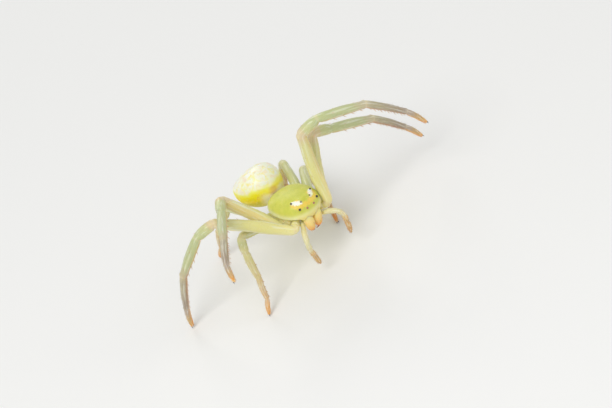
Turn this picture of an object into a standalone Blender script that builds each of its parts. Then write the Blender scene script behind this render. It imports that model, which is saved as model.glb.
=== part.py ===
# Crab spider, a still life-size model with both left front legs raised.
# Sizes are in millimetres in the body's own frame: x forward, y to its left, z up.
# The finished model stands on the floor, faces -Y, and its left side is +X.

import math

import bmesh
import bpy
from mathutils import Matrix, Vector

MM = 0.001
NAME = "crab_spider"

# Stance of the body over the floor
BODY_HEIGHT = 3.2
NOSE_DOWN = math.radians(4)
ROLL_TO_LEFT = math.radians(8)
FOOT_REST = 0.08
JOINT_GAP = 0.09

# Prosoma: the carapace with its face, sternum and leg sockets
PROSOMA_REAR = -1.33
PROSOMA_FRONT = 1.32
PROSOMA_HALF_WIDTH = 1.1
CARAPACE_TOP = 0.76
CARAPACE_PEAK_X = 0.6
STERNUM_DEPTH = 0.55
CARAPACE_SQUARENESS = 2.3
STERNUM_SQUARENESS = 1.25
STERNUM_MIDDLE_X = -0.2
CLYPEUS_DEPTH = 0.14
COXA_RADIUS = 0.2
PEDICEL_RADIUS = 0.15
PEDICEL_Z = -0.08

# Abdomen: highest near its front, sloping down to the rear and widening a little
ABDOMEN_CENTRE = Vector((-2.665, 0.175, 0.0))
ABDOMEN_HALF_LENGTH = 1.21
ABDOMEN_HALF_WIDTH = 1.14
ABDOMEN_TOP = 1.27
ABDOMEN_DEPTH = 0.885
ABDOMEN_REAR_SLOPE = 0.74
ABDOMEN_TAPER = 0.1
SPINNERET_LENGTH = 0.34
SPINNERET_RADIUS = 0.11

# Face: levels as height, half width and reach ahead
FACE_LEVELS = ((0.06, 0.6, 1.29), (-0.08, 0.58, 1.3), (-0.18, 0.53, 1.28), (-0.235, 0.44, 1.2))
FACE_BACK = 0.5
FACE_SQUARENESS = 2.6
CHELICERA_RADIUS = 0.2
CHELICERA_SPREAD = 0.235
CHELICERA_TOP = -0.3
CHELICERA_LENGTH = 0.68
CHELICERA_X = 1.08
EYE_GAP = 0.02
EYE_MOUND_ROOT = 0.12
EYE_MOUND_HEIGHT = 0.05

# Eyes by name: place ahead, place aside, radius
EYES = {
    "anterior_median": (1.255, 0.2, 0.05),
    "anterior_lateral": (1.11, 0.52, 0.062),
    "posterior_median": (1.02, 0.27, 0.045),
    "posterior_lateral": (0.7, 0.59, 0.052),
}

# Legs by pair: femur root (for the left side) and lengths of the five free lengths
LEG_ROOTS = {1: (1.0, 1.12, -0.4), 2: (0.43, 1.26, -0.42), 3: (-0.37, 1.2, -0.4), 4: (-0.95, 1.05, -0.42)}
LEG_HUBS = {1: (0.42, 0.3, -0.4), 2: (0.16, 0.35, -0.42), 3: (-0.12, 0.35, -0.38), 4: (-0.35, 0.3, -0.36)}
LEG_LENGTHS = {
    1: (3.8, 1.05, 2.3, 1.97, 1.14),
    2: (3.25, 1.06, 2.3, 1.95, 1.12),
    3: (2.0, 0.78, 1.4, 1.09, 0.75),
    4: (2.15, 0.8, 1.5, 1.15, 0.76),
}
TROCHANTER_LENGTH = 0.3

# Stance by leg: azimuth ahead of straight out, elevation and lean of the femur,
# then the bends at knee, patella, tibia and metatarsus, in degrees
LEG_STANCE = {
    ("left", 1): (-18.6, 80.3, -48.0, 66.6, 29.6, 29.7, 17.1),
    ("left", 2): (-4.5, 68.5, -9.0, 99.9, -1.5, 23.6, 10.2),
    ("left", 3): (-57.6, -0.9, -7.5, 43.7, 50.5, 66.6, -4.6),
    ("left", 4): (-64.1, 7.4, 12.6, 40.0, 35.2, 66.0, 21.0),
    ("right", 1): (-33.7, 36.3, 5.3, 58.9, 27.7, 20.2, 10.1),
    ("right", 2): (-52.0, 51.4, -102.6, 96.4, -0.9, 1.2, 17.5),
    ("right", 3): (3.3, 23.5, -9.4, 96.7, 10.2, -5.7, -17.5),
    ("right", 4): (-74.5, 13.4, 1.6, 67.8, -5.2, 21.1, -15.0),
}
RAISED_LEGS = {("left", 1), ("left", 2), ("right", 2)}

# Half thickness along each free length: near end, middle and far end
LONG_LEG_RADII = ((0.17, 0.3, 0.26), (0.27, 0.28, 0.25), (0.24, 0.25, 0.21), (0.2, 0.19, 0.17), (0.16, 0.15, 0.12))
SHORT_LEG_RADII = ((0.17, 0.24, 0.22), (0.22, 0.23, 0.2), (0.2, 0.2, 0.17), (0.17, 0.16, 0.14), (0.14, 0.13, 0.11))

# Palps: femur root on the left, lengths, half thicknesses and stance
PALP_ROOT = (0.95, 0.56, -0.6)
PALP_LENGTHS = (0.8, 0.36, 0.42, 0.72)
PALP_RADII = ((0.14, 0.15, 0.14), (0.14, 0.15, 0.14), (0.14, 0.14, 0.14), (0.14, 0.14, 0.08))
PALP_STANCE = {
    "left": (57.9, -0.3, -0.7, 44.7, 50.3, 1.2),
    "right": (43.7, -40.8, 0.6, 40.8, 24.7, -2.0),
}

# Paired spines under the long front legs, as places along the length
SPINE_LENGTH = 0.3
SPINE_RADIUS = 0.045
METATARSUS_SPINES = (0.2, 0.36, 0.52, 0.68, 0.84)
TIBIA_SPINES = (0.5, 0.68, 0.86)

BODY_SIDES = 28
LEG_SIDES = 12
SPINE_SIDES = 5

body_turn = (
    Matrix.Rotation(math.radians(-90), 3, "Z")
    @ Matrix.Rotation(NOSE_DOWN, 3, "Y")
    @ Matrix.Rotation(-ROLL_TO_LEFT, 3, "X")
)


def clear_scene():
    for obj in list(bpy.data.objects):
        bpy.data.objects.remove(obj, do_unlink=True)


def new_collection(name):
    collection = bpy.data.collections.new(name)
    bpy.context.scene.collection.children.link(collection)
    return collection


def make_material(name, colour, roughness):
    material = bpy.data.materials.new(name)
    material.use_nodes = True
    shader = material.node_tree.nodes["Principled BSDF"]
    shader.inputs["Base Color"].default_value = (*colour, 1.0)
    shader.inputs["Roughness"].default_value = roughness
    material.diffuse_color = (*colour, 1.0)
    return material


def on_side(point, side):
    x, y, z = point
    return Vector((x, y if side == "left" else -y, z))


def over_floor(point):
    return body_turn @ Vector(point) + Vector((0, 0, BODY_HEIGHT))


def new_empty(name, parent=None):
    empty = bpy.data.objects.new(name, None)
    empty.parent = parent
    model.objects.link(empty)
    return empty


def finish_object(name, mesh, material, collection, parent):
    """Turn a bmesh drawn in millimetres into a smooth-shaded object in metres."""
    bmesh.ops.recalc_face_normals(mesh, faces=mesh.faces[:])
    bmesh.ops.scale(mesh, vec=(MM, MM, MM), verts=mesh.verts[:])
    data = bpy.data.meshes.new(name)
    mesh.to_mesh(data)
    mesh.free()
    data.materials.append(material)
    data.shade_smooth()
    obj = bpy.data.objects.new(name, data)
    obj.parent = parent
    collection.objects.link(obj)
    if collection == cutters:
        obj.hide_render = True
        obj.display_type = "WIRE"
    return obj


def loft(name, rings, material, collection, parent):
    """Skin a stack of equal rings into one closed body."""
    mesh = bmesh.new()
    rows = [[mesh.verts.new(p) for p in ring] for ring in rings]
    count = len(rings[0])
    for low, high in zip(rows, rows[1:]):
        for i in range(count):
            j = (i + 1) % count
            mesh.faces.new((low[i], low[j], high[j], high[i]))
    for row, ring in ((rows[0], rings[0]), (rows[-1], rings[-1])):
        middle = mesh.verts.new(sum(ring, Vector()) / count)
        for i in range(count):
            mesh.faces.new((row[i], row[(i + 1) % count], middle))
    return finish_object(name, mesh, material, collection, parent)


def cone_between(name, start, end, start_radius, end_radius, sides, material, parent):
    """A closed cone or peg from start to end, to be fused to another piece."""
    mesh = bmesh.new()
    along = end - start
    place = Matrix.Translation((start + end) / 2) @ along.to_track_quat("Z", "Y").to_matrix().to_4x4()
    bmesh.ops.create_cone(mesh, cap_ends=True, segments=sides, radius1=start_radius, radius2=end_radius,
                          depth=along.length, matrix=place)
    return finish_object(name, mesh, material, cutters, parent)


def keep_largest(obj):
    mesh = bmesh.new()
    mesh.from_mesh(obj.data)
    left = set(mesh.verts)
    shells = []
    while left:
        stack = [left.pop()]
        shell = set(stack)
        while stack:
            for edge in stack.pop().link_edges:
                for vert in edge.verts:
                    if vert in left:
                        left.discard(vert)
                        shell.add(vert)
                        stack.append(vert)
        shells.append(shell)
    shells.sort(key=len)
    loose = [vert for shell in shells[:-1] for vert in shell]
    bmesh.ops.delete(mesh, geom=loose, context="VERTS")
    mesh.to_mesh(obj.data)
    mesh.free()


def fuse(obj, pieces):
    """Join pieces whose roots are sunk in obj, so that it stays one closed body."""
    group = new_collection(obj.name + "_pieces")
    for piece in pieces:
        cutters.objects.unlink(piece)
        group.objects.link(piece)
    union = obj.modifiers.new("union", "BOOLEAN")
    union.operation = "UNION"
    union.operand_type = "COLLECTION"
    union.collection = group
    union.solver = "EXACT"
    union.use_self = True
    bpy.context.view_layer.objects.active = obj
    bpy.ops.object.modifier_apply(modifier=union.name)
    for piece in pieces:
        bpy.data.objects.remove(piece, do_unlink=True)
    bpy.data.collections.remove(group)
    keep_largest(obj)


def tube(points, radii, sides, across):
    """Rings round a bent path, mitred where it bends."""
    rings = []
    for i, (point, radius) in enumerate(zip(points, radii)):
        before = (point - points[i - 1]).normalized() if i else None
        after = (points[i + 1] - point).normalized() if i + 1 < len(points) else before
        before = before or after
        along = (before + after).normalized()
        bend = after - before
        stretch = min(1 / max(before.dot(along), 0.1), 1.3) - 1
        across = (across - along * across.dot(along)).normalized()
        other = along.cross(across)
        ring = []
        for k in range(sides):
            turn = 2 * math.pi * k / sides
            reach = (across * math.cos(turn) + other * math.sin(turn)) * radius
            if bend.length > 0.02:
                reach += bend.normalized() * reach.dot(bend.normalized()) * stretch
            ring.append(point + reach)
        rings.append(ring)
    return rings


def bulge(blunt, squareness, u):
    return max(1 - abs(u) ** blunt, 0.0) ** (1 / squareness)


def prosoma_width(x):
    middle = (PROSOMA_REAR + PROSOMA_FRONT) / 2
    return PROSOMA_HALF_WIDTH * bulge(2.3, 2.2, (x - middle) / (PROSOMA_FRONT - middle))


def prosoma_top(x):
    if x > CARAPACE_PEAK_X:
        return CARAPACE_TOP * bulge(3.5, 2.0, (x - CARAPACE_PEAK_X) / (PROSOMA_FRONT - CARAPACE_PEAK_X))
    return CARAPACE_TOP * bulge(2.2, 1.6, (x - CARAPACE_PEAK_X) / (PROSOMA_REAR - CARAPACE_PEAK_X))


def prosoma_bottom(x):
    span = 1.2 if x > STERNUM_MIDDLE_X else STERNUM_MIDDLE_X - PROSOMA_REAR
    belly = STERNUM_DEPTH * bulge(3.0, 2.0, (x - STERNUM_MIDDLE_X) / span)
    lip = CLYPEUS_DEPTH * bulge(6.0, 2.0, (x - PROSOMA_REAR) / (PROSOMA_FRONT - PROSOMA_REAR))
    return max(belly, lip)


def squared(share, squareness):
    return math.copysign(abs(share) ** (2 / squareness), share)


def squashed_ring(x, width, top, bottom, over, under):
    """A cross-section; over and under say how square its upper and lower halves are."""
    ring = []
    for k in range(BODY_SIDES):
        turn = 2 * math.pi * k / BODY_SIDES
        squareness = over if math.sin(turn) >= 0 else under
        high = squared(math.sin(turn), squareness)
        ring.append(Vector((x, width * squared(math.cos(turn), squareness), high * (top if high > 0 else bottom))))
    return ring


def rounded_steps(start, end, count):
    """Stations that crowd toward both ends."""
    middle = (start + end) / 2
    half = (end - start) / 2
    return [middle - half * math.cos(math.pi * (i + 0.5) / count) for i in range(count)]


def carapace_point(x, y):
    share = min(abs(y) / prosoma_width(x), 1.0)
    turn = math.acos(share ** (CARAPACE_SQUARENESS / 2))
    return Vector((x, y, prosoma_top(x) * math.sin(turn) ** (2 / CARAPACE_SQUARENESS)))


def carapace_normal(x, y):
    step = 0.01
    ahead = carapace_point(x + step, y) - carapace_point(x - step, y)
    aside = carapace_point(x, y + step) - carapace_point(x, y - step)
    return ahead.cross(aside).normalized()


def coxa_direction(side, pair):
    return (on_side(LEG_ROOTS[pair], side) - on_side(LEG_HUBS[pair], side)).normalized()


def make_face(material):
    """The upright front of the head, between the eyes and the chelicerae."""
    rings = []
    for height, half_width, front in FACE_LEVELS:
        reach = (front - FACE_BACK) / 2
        ring = []
        for k in range(BODY_SIDES):
            turn = 2 * math.pi * k / BODY_SIDES
            ahead = FACE_BACK + reach * (1 + squared(math.cos(turn), FACE_SQUARENESS))
            ring.append(Vector((ahead, half_width * squared(math.sin(turn), FACE_SQUARENESS), height)))
        rings.append(ring)
    return loft("face", rings, material, cutters, body)


def make_prosoma():
    material = make_material("carapace", (0.62, 0.68, 0.2), 0.4)
    rings = []
    for x in rounded_steps(PROSOMA_REAR, PROSOMA_FRONT, 22):
        rings.append(squashed_ring(x, prosoma_width(x), prosoma_top(x), prosoma_bottom(x),
                                  CARAPACE_SQUARENESS, STERNUM_SQUARENESS))
    prosoma = loft("carapace", rings, material, model, body)
    pieces = [make_face(material)]
    for side in ("left", "right"):
        for pair in LEG_ROOTS:
            hub = on_side(LEG_HUBS[pair], side)
            reach = TROCHANTER_LENGTH + JOINT_GAP
            end = on_side(LEG_ROOTS[pair], side) - coxa_direction(side, pair) * reach
            pieces.append(cone_between("coxa", hub, end, COXA_RADIUS, COXA_RADIUS, LEG_SIDES, material, body))
        for name in ("anterior_lateral", "posterior_lateral"):
            x, y, radius = EYES[name]
            spot = carapace_point(x, y if side == "left" else -y)
            out = carapace_normal(spot.x, spot.y)
            pieces.append(cone_between("eye_mound", spot - out * EYE_MOUND_ROOT, spot + out * EYE_MOUND_HEIGHT,
                                       radius * 2.2, radius * 1.25, LEG_SIDES, material, body))
    start = Vector((PROSOMA_REAR + 0.3, 0, PEDICEL_Z))
    end = Vector((ABDOMEN_CENTRE.x + ABDOMEN_HALF_LENGTH + JOINT_GAP * 0.7, ABDOMEN_CENTRE.y * 0.4, PEDICEL_Z))
    pieces.append(cone_between("pedicel", start, end, PEDICEL_RADIUS, PEDICEL_RADIUS, LEG_SIDES, material, body))
    fuse(prosoma, pieces)


def make_abdomen():
    material = make_material("abdomen", (0.86, 0.84, 0.42), 0.5)
    front = ABDOMEN_CENTRE.x + ABDOMEN_HALF_LENGTH
    rear = ABDOMEN_CENTRE.x - ABDOMEN_HALF_LENGTH
    rings = []
    for x in rounded_steps(rear, front, 20):
        u = (x - ABDOMEN_CENTRE.x) / ABDOMEN_HALF_LENGTH
        swell = bulge(2.1, 2.0, u)
        slope = 1 - ABDOMEN_REAR_SLOPE * ((1 - u) / 2) ** 2
        ring = squashed_ring(x, ABDOMEN_HALF_WIDTH * swell * (1 - ABDOMEN_TAPER * u),
                             ABDOMEN_TOP * swell * slope, ABDOMEN_DEPTH * swell, 2.1, 2.1)
        offset = Vector((0, ABDOMEN_CENTRE.y, ABDOMEN_CENTRE.z))
        rings.append([p + offset for p in ring])
    loft("abdomen", rings, material, model, body)


def make_spinnerets():
    material = make_material("spinnerets", (0.72, 0.6, 0.3), 0.5)
    root = Vector((ABDOMEN_CENTRE.x - ABDOMEN_HALF_LENGTH * 0.985, ABDOMEN_CENTRE.y, ABDOMEN_CENTRE.z - 0.3))
    back = Vector((-0.9, 0, -0.35)).normalized()
    base = root + back * 0.02
    disc = tube([base, base + back * 0.06, base + back * 0.14], [0.2, 0.24, 0.2], LEG_SIDES, Vector((0.3, 0.2, 1)))
    cluster = loft("spinnerets", disc, material, model, body)
    pieces = []
    for aside, up, length in ((0.1, 0.08, 0.8), (-0.1, 0.08, 0.8), (0.1, -0.09, 1.0), (-0.1, -0.09, 1.0)):
        start = base + back * 0.05 + Vector((0, aside, up))
        end = start + (back + Vector((0, aside * 0.8, up * 0.8))).normalized() * SPINNERET_LENGTH * length
        pieces.append(cone_between("spinneret", start, end, SPINNERET_RADIUS, SPINNERET_RADIUS * 0.45, 8,
                                   material, body))
    fuse(cluster, pieces)


def make_chelicera(side):
    material = make_material("chelicera_" + side, (0.85, 0.62, 0.3), 0.4)
    steps = ((0.0, 0.0, 0.85), (0.12, 0.02, 1.0), (0.35, 0.03, 1.02), (0.6, 0.02, 0.98), (0.82, 0.0, 0.86),
             (0.95, -0.02, 0.66), (1.0, -0.03, 0.42))
    points = []
    radii = []
    for share, ahead, size in steps:
        spot = (CHELICERA_X + ahead, CHELICERA_SPREAD - share * 0.03, CHELICERA_TOP - share * CHELICERA_LENGTH)
        points.append(on_side(spot, side))
        radii.append(CHELICERA_RADIUS * size)
    loft("chelicera_" + side, tube(points, radii, LEG_SIDES, Vector((1, 0, 0))), material, model, body)


def make_eye(name, side):
    """A lens: the outer half of a ball, its flat back just clear of the head."""
    x, y, radius = EYES[name]
    material = make_material("eye_%s_%s" % (name, side), (0.08, 0.05, 0.04), 0.1)
    spot = carapace_point(x, y if side == "left" else -y)
    out = carapace_normal(spot.x, spot.y)
    mound = EYE_MOUND_HEIGHT if "lateral" in name else 0.0
    place = Matrix.Translation(spot + out * (mound + EYE_GAP)) @ out.to_track_quat("Z", "Y").to_matrix().to_4x4()
    mesh = bmesh.new()
    bmesh.ops.create_uvsphere(mesh, u_segments=10, v_segments=8, radius=radius)
    bmesh.ops.bisect_plane(mesh, geom=mesh.verts[:] + mesh.edges[:] + mesh.faces[:],
                           plane_co=(0, 0, 0), plane_no=(0, 0, 1), clear_inner=True)
    bmesh.ops.holes_fill(mesh, edges=[e for e in mesh.edges if e.is_boundary])
    bmesh.ops.transform(mesh, matrix=place, verts=mesh.verts[:])
    finish_object("eye_%s_%s" % (name, side), mesh, material, model, body)


def turned(direction, axis, degrees):
    return Matrix.Rotation(math.radians(degrees), 3, axis) @ direction


def limb_joints(root, side, lengths, stance):
    """Joint places of a limb that bends in one plane, and that plane's axis."""
    azimuth, elevation, lean = (math.radians(a) for a in stance[:3])
    hand = 1 if side == "left" else -1
    flat = Vector((hand * math.cos(azimuth), -math.sin(azimuth), 0))
    along = flat * math.cos(elevation) + Vector((0, 0, math.sin(elevation)))
    axis = turned(Vector((0, 0, 1)).cross(flat), along, math.degrees(lean) * hand)
    joints = [root]
    for length, bend in zip(lengths, stance[3:] + (0,)):
        joints.append(joints[-1] + along * length)
        along = turned(along, axis, bend)
    return joints, axis


def standing_joints(root, side, lengths, stance):
    """The same limb with its femur raised or lowered until the claw rests on the floor."""
    low, high = stance[1] - 12, stance[1] + 12
    for _ in range(40):
        middle = (low + high) / 2
        joints, axis = limb_joints(root, side, lengths, (stance[0], middle) + stance[2:])
        if joints[-1].z > FOOT_REST:
            high = middle
        else:
            low = middle
    return joints, axis


def limb_stations(joints, radii):
    """Ring places and sizes along a limb, kept clear of each bend."""
    points = [joints[0]]
    sizes = [radii[0][0]]
    for i, (near, middle, far) in enumerate(radii):
        start, end = joints[i], joints[i + 1]
        span = (end - start).length
        along = (end - start).normalized()
        clear_near = 0.08 * span
        clear_far = 0.08 * span
        if i:
            bend = along.angle((start - joints[i - 1]).normalized())
            clear_near = min(max(clear_near, near * math.tan(bend / 2) * 1.15), 0.4 * span)
        if i + 1 < len(radii):
            bend = along.angle((joints[i + 2] - end).normalized())
            clear_far = min(max(clear_far, far * math.tan(bend / 2) * 1.15), 0.4 * span)
        inside = span - clear_near - clear_far
        for share in (0.0, 0.35, 0.7, 1.0):
            place = (clear_near + inside * share) / span
            if place < 0.4:
                size = near + (middle - near) * math.sin(place / 0.4 * math.pi / 2)
            else:
                size = middle + (far - middle) * (place - 0.4) / 0.6
            points.append(start + along * span * place)
            sizes.append(size)
        points.append(end)
        sizes.append(far)
    return points, sizes


def make_spines(joints, axis, length_index, radii, places, material):
    start, end = joints[length_index], joints[length_index + 1]
    along = (end - start).normalized()
    under = axis.cross(along)
    near, _, far = radii[length_index]
    spines = []
    for place in places:
        thickness = near + (far - near) * place
        for hand in (-1, 1):
            out = (under + axis * hand * 0.75).normalized()
            root = start + (end - start) * place + out * thickness * 0.55
            tip = root + (out * 0.75 + along * 0.8).normalized() * (SPINE_LENGTH + thickness * 0.45)
            spines.append(cone_between("spine", root, tip, SPINE_RADIUS, SPINE_RADIUS * 0.3, SPINE_SIDES,
                                       material, root_empty))
    return spines


def make_leg(side, pair):
    name = "leg_%s_%d" % (side, pair)
    material = make_material(name, (0.78, 0.78, 0.5), 0.4)
    root = over_floor(on_side(LEG_ROOTS[pair], side))
    stance = LEG_STANCE[side, pair]
    solve = limb_joints if (side, pair) in RAISED_LEGS else standing_joints
    joints, axis = solve(root, side, LEG_LENGTHS[pair], stance)
    radii = LONG_LEG_RADII if pair < 3 else SHORT_LEG_RADII
    points, sizes = limb_stations(joints, radii)
    inner = body_turn @ coxa_direction(side, pair)
    points.insert(0, root - inner * TROCHANTER_LENGTH)
    sizes.insert(0, COXA_RADIUS * 0.95)
    points.insert(1, root - inner * TROCHANTER_LENGTH * 0.85)
    sizes.insert(1, COXA_RADIUS)
    rings = tube(points, sizes, LEG_SIDES, axis)
    if (side, pair) in RAISED_LEGS:
        tip = joints[-1] + (joints[-1] - joints[-2]).normalized() * sizes[-1] * 0.5
        rings.append([tip + (p - joints[-1]) * 0.55 for p in rings[-1]])
    else:
        centre = Vector((joints[-1].x, joints[-1].y, 0))
        rings[-2] = [Vector((p.x, p.y, max(p.z, 0.03))) for p in rings[-2]]
        rings[-1] = [Vector((p.x, p.y, max(p.z, 0.03))) for p in rings[-1]]
        rings.append([centre + Vector((p.x - centre.x, p.y - centre.y, 0)) * 0.9 for p in rings[-1]])
    leg = loft(name, rings, material, model, root_empty)
    if pair < 3:
        spines = make_spines(joints, axis, 3, radii, METATARSUS_SPINES, material)
        spines += make_spines(joints, axis, 2, radii, TIBIA_SPINES, material)
        fuse(leg, spines)


def make_palp(side):
    material = make_material("palp_" + side, (0.8, 0.74, 0.5), 0.4)
    root = over_floor(on_side(PALP_ROOT, side))
    joints, axis = limb_joints(root, side, PALP_LENGTHS, PALP_STANCE[side])
    points, sizes = limb_stations(joints, PALP_RADII)
    loft("palp_" + side, tube(points, sizes, 10, axis), material, model, root_empty)


def centre_on_floor():
    """Put the world's origin at the middle of the underside of the model's box."""
    bpy.context.view_layer.update()
    corners = [obj.matrix_world @ vert.co for obj in model.objects if obj.data for vert in obj.data.vertices]
    low = Vector([min(c[i] for c in corners) for i in range(3)])
    high = Vector([max(c[i] for c in corners) for i in range(3)])
    root_empty.location = (-(low.x + high.x) / 2, -(low.y + high.y) / 2, -low.z)


clear_scene()
model = new_collection(NAME)
cutters = new_collection("cutters")
root_empty = new_empty("root")
body = new_empty("body", root_empty)
body.location = (0, 0, BODY_HEIGHT * MM)
body.rotation_euler = body_turn.to_euler()

make_prosoma()
make_abdomen()
make_spinnerets()
for side in ("left", "right"):
    make_chelicera(side)
    make_palp(side)
    for eye in EYES:
        make_eye(eye, side)
    for pair in LEG_ROOTS:
        make_leg(side, pair)
centre_on_floor()
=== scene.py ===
import bisect
import math
import random

import bmesh
import bpy
from mathutils import Matrix, Vector


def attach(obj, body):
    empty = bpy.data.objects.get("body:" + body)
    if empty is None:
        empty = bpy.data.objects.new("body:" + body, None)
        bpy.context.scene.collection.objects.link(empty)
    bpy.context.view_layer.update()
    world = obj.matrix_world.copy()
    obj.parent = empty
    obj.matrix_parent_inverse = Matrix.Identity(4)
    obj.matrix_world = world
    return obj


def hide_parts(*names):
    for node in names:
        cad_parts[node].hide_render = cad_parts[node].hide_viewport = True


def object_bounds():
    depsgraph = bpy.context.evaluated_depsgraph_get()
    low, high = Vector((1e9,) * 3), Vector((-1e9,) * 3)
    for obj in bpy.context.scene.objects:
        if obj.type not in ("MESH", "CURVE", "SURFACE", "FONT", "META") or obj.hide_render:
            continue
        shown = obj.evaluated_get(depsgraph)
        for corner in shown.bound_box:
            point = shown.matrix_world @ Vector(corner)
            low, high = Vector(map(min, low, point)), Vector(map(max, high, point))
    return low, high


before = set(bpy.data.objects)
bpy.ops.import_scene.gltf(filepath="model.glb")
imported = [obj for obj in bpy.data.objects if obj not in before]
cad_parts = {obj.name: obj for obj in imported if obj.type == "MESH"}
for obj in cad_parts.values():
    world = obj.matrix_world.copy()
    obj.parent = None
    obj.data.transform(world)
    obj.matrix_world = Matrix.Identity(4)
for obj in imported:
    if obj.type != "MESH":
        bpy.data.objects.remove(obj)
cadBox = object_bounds()
print("packed solids loaded:", len(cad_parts))

mm = 0.001
floorGap = 0.012     # nothing of the animal comes lower than this
sides = ("left", "right")

# How the body stands over the floor, in millimetres and degrees
posture = {
    "middle": Vector((-0.2891, -0.6486, 3.2)),
    "noseDown": 4,
    "rollLeft": 8,
}
bodyTurn = (
    Matrix.Rotation(math.radians(-90), 3, "Z")
    @ Matrix.Rotation(math.radians(posture["noseDown"]), 3, "Y")
    @ Matrix.Rotation(math.radians(-posture["rollLeft"]), 3, "X")
)


def overFloor(point):
    return bodyTurn @ Vector(point) + posture["middle"]


def onSide(point, side):
    return Vector((point[0], point[1] if side == "left" else -point[1], point[2]))


# Smooth value through (place, value) pairs
def blendBetween(keys, share):
    if share <= keys[0][0]:
        return keys[0][1]
    for (lowPlace, low), (highPlace, high) in zip(keys, keys[1:]):
        if share <= highPlace:
            t = (share - lowPlace) / (highPlace - lowPlace)
            t = t * t * (3 - 2 * t)
            return low + (high - low) * t
    return keys[-1][1]


# Camera
view = {
    "right": Vector((0.659, -0.628, -0.414)),
    "toCamera": Vector((-0.348, -0.743, 0.572)),
    "imageWidth": 612 / 22.0,     # millimetres across the picture
    "besideBody": 0.523,          # picture's middle from the body's, to the right
    "aboveBody": -0.009,
    "distance": 400.0,
    "sensor": 36.0,
}


def placeCamera():
    back = view["toCamera"].normalized()
    right = (view["right"] - back * view["right"].dot(back)).normalized()
    up = back.cross(right)
    middle = posture["middle"] + right * view["besideBody"] + up * view["aboveBody"]
    data = bpy.data.cameras.new("camera")
    data.sensor_width = view["sensor"]
    data.lens = view["sensor"] * view["distance"] / view["imageWidth"]
    data.clip_start = 0.01
    data.clip_end = 20
    camera = bpy.data.objects.new("camera", data)
    camera.rotation_euler = Matrix((right, up, back)).transposed().to_euler()
    camera.location = (middle + back * view["distance"]) * mm
    bpy.context.scene.collection.objects.link(camera)
    bpy.context.scene.camera = camera


placeCamera()
print("camera placed")

# Materials, in plain 0 to 255 colours as the eye reads them


def tint(red, green, blue):
    parts = (red, green, blue)
    return tuple(((c / 255 + 0.055) / 1.055) ** 2.4 if c > 10 else c / 3294.6 for c in parts) + (1.0,)


# A material and short ways to add and join its nodes
class Finish:
    def __init__(self, name, **values):
        self.material = bpy.data.materials.new(name)
        self.material.use_nodes = True
        self.tree = self.material.node_tree
        self.shader = self.tree.nodes["Principled BSDF"]
        for socket, value in values.items():
            self.shader.inputs[socket.replace("_", " ")].default_value = value

    def add(self, kind, inputs=None, **properties):
        made = self.tree.nodes.new("ShaderNode" + kind)
        for key, value in properties.items():
            setattr(made, key, value)
        for key, value in (inputs or {}).items():
            if isinstance(value, bpy.types.NodeSocket):
                self.tree.links.new(value, made.inputs[key])
            else:
                made.inputs[key].default_value = value
        return made

    def join(self, source, socket):
        self.tree.links.new(source, self.shader.inputs[socket])

    def math(self, operation, first, second=0.0, clamp=False):
        return self.add("Math", {0: first, 1: second}, operation=operation, use_clamp=clamp).outputs[0]

    def times(self, first, second):
        return self.math("MULTIPLY", first, second)

    def plus(self, first, second):
        return self.math("ADD", first, second)

    def minus(self, first, second):
        return self.math("SUBTRACT", first, second)

    def mix(self, share, first, second):
        made = self.add("Mix", {0: share, 6: first, 7: second}, data_type="RGBA")
        return made.outputs[2]

    def ramp(self, share, stops, interpolation="EASE"):
        made = self.add("ValToRGB", {0: share})
        band = made.color_ramp
        band.interpolation = interpolation
        while len(band.elements) < len(stops):
            band.elements.new(0.5)
        for element, (place, colour) in zip(band.elements, stops):
            element.position = place
            element.color = colour
        return made.outputs[0]

    # 0 below low, 1 above high, smooth between
    def spread(self, value, low, high):
        made = self.add("MapRange", {0: value, 1: low, 2: high}, interpolation_type="SMOOTHSTEP")
        return made.outputs[0]

    def noise(self, place, scale, detail=3.0, roughness=0.55, distortion=0.0):
        made = self.add("TexNoise", {"Vector": place, "Scale": scale, "Detail": detail,
                                     "Roughness": roughness, "Distortion": distortion})
        return made.outputs[0]

    # Base colour that wavers between two tones
    def grained(self, place, scale, detail, low, high):
        self.join(self.ramp(self.noise(place, scale, detail), [(0.3, low), (0.7, high)]), "Base Color")

    def bump(self, height, strength, distance):
        made = self.add("Bump", {"Strength": strength, "Distance": distance, "Height": height})
        self.join(made.outputs[0], "Normal")

    # Place in the row frame, in millimetres
    def rowPlace(self):
        where = self.add("TexCoord").outputs["Object"]
        return self.add("VectorMath", {0: where, 1: (1 / mm,) * 3}, operation="MULTIPLY").outputs[0]

    # Place in the body's own frame, in millimetres
    def bodyPlace(self):
        where = self.add("TexCoord").outputs["Object"]
        turn = self.add("Mapping", {"Vector": where, "Location": posture["middle"] * mm,
                                    "Rotation": bodyTurn.to_euler(), "Scale": (mm, mm, mm)},
                        vector_type="TEXTURE")
        return turn.outputs[0]

    # 1 at spot, falling to 0 at reach
    def near(self, place, spot, reach):
        gap = self.add("VectorMath", {0: place, 1: spot}, operation="DISTANCE").outputs["Value"]
        return self.add("MapRange", {0: gap, 1: 0.0, 2: reach, 3: 1.0, 4: 0.0},
                        interpolation_type="SMOOTHSTEP").outputs[0]


# Pigment round the eyes as (place ahead, place aside, reach)
eyeWhite = ((0.74, 0.54, 0.18), (0.84, 0.48, 0.22), (0.95, 0.4, 0.22), (1.04, 0.3, 0.13))
eyeGold = ((1.2, 0.0, 0.2), (1.17, 0.18, 0.26), (1.12, 0.36, 0.27), (1.06, 0.53, 0.2), (0.93, 0.6, 0.2),
           (0.78, 0.64, 0.17), (0.84, 0.36, 0.16))
eyeRims = {
    "anterior_median": tint(222, 150, 96),
    "anterior_lateral": tint(214, 150, 70),
    "posterior_median": tint(216, 206, 176),
    "posterior_lateral": tint(190, 160, 70),
}

fleshLook = {
    "Subsurface_Weight": 0.85,
    "Subsurface_Scale": 0.00022,
    "Roughness": 0.4,
    "IOR": 1.42,
    "Coat_Weight": 0.12,
    "Coat_Roughness": 0.25,
}

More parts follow.
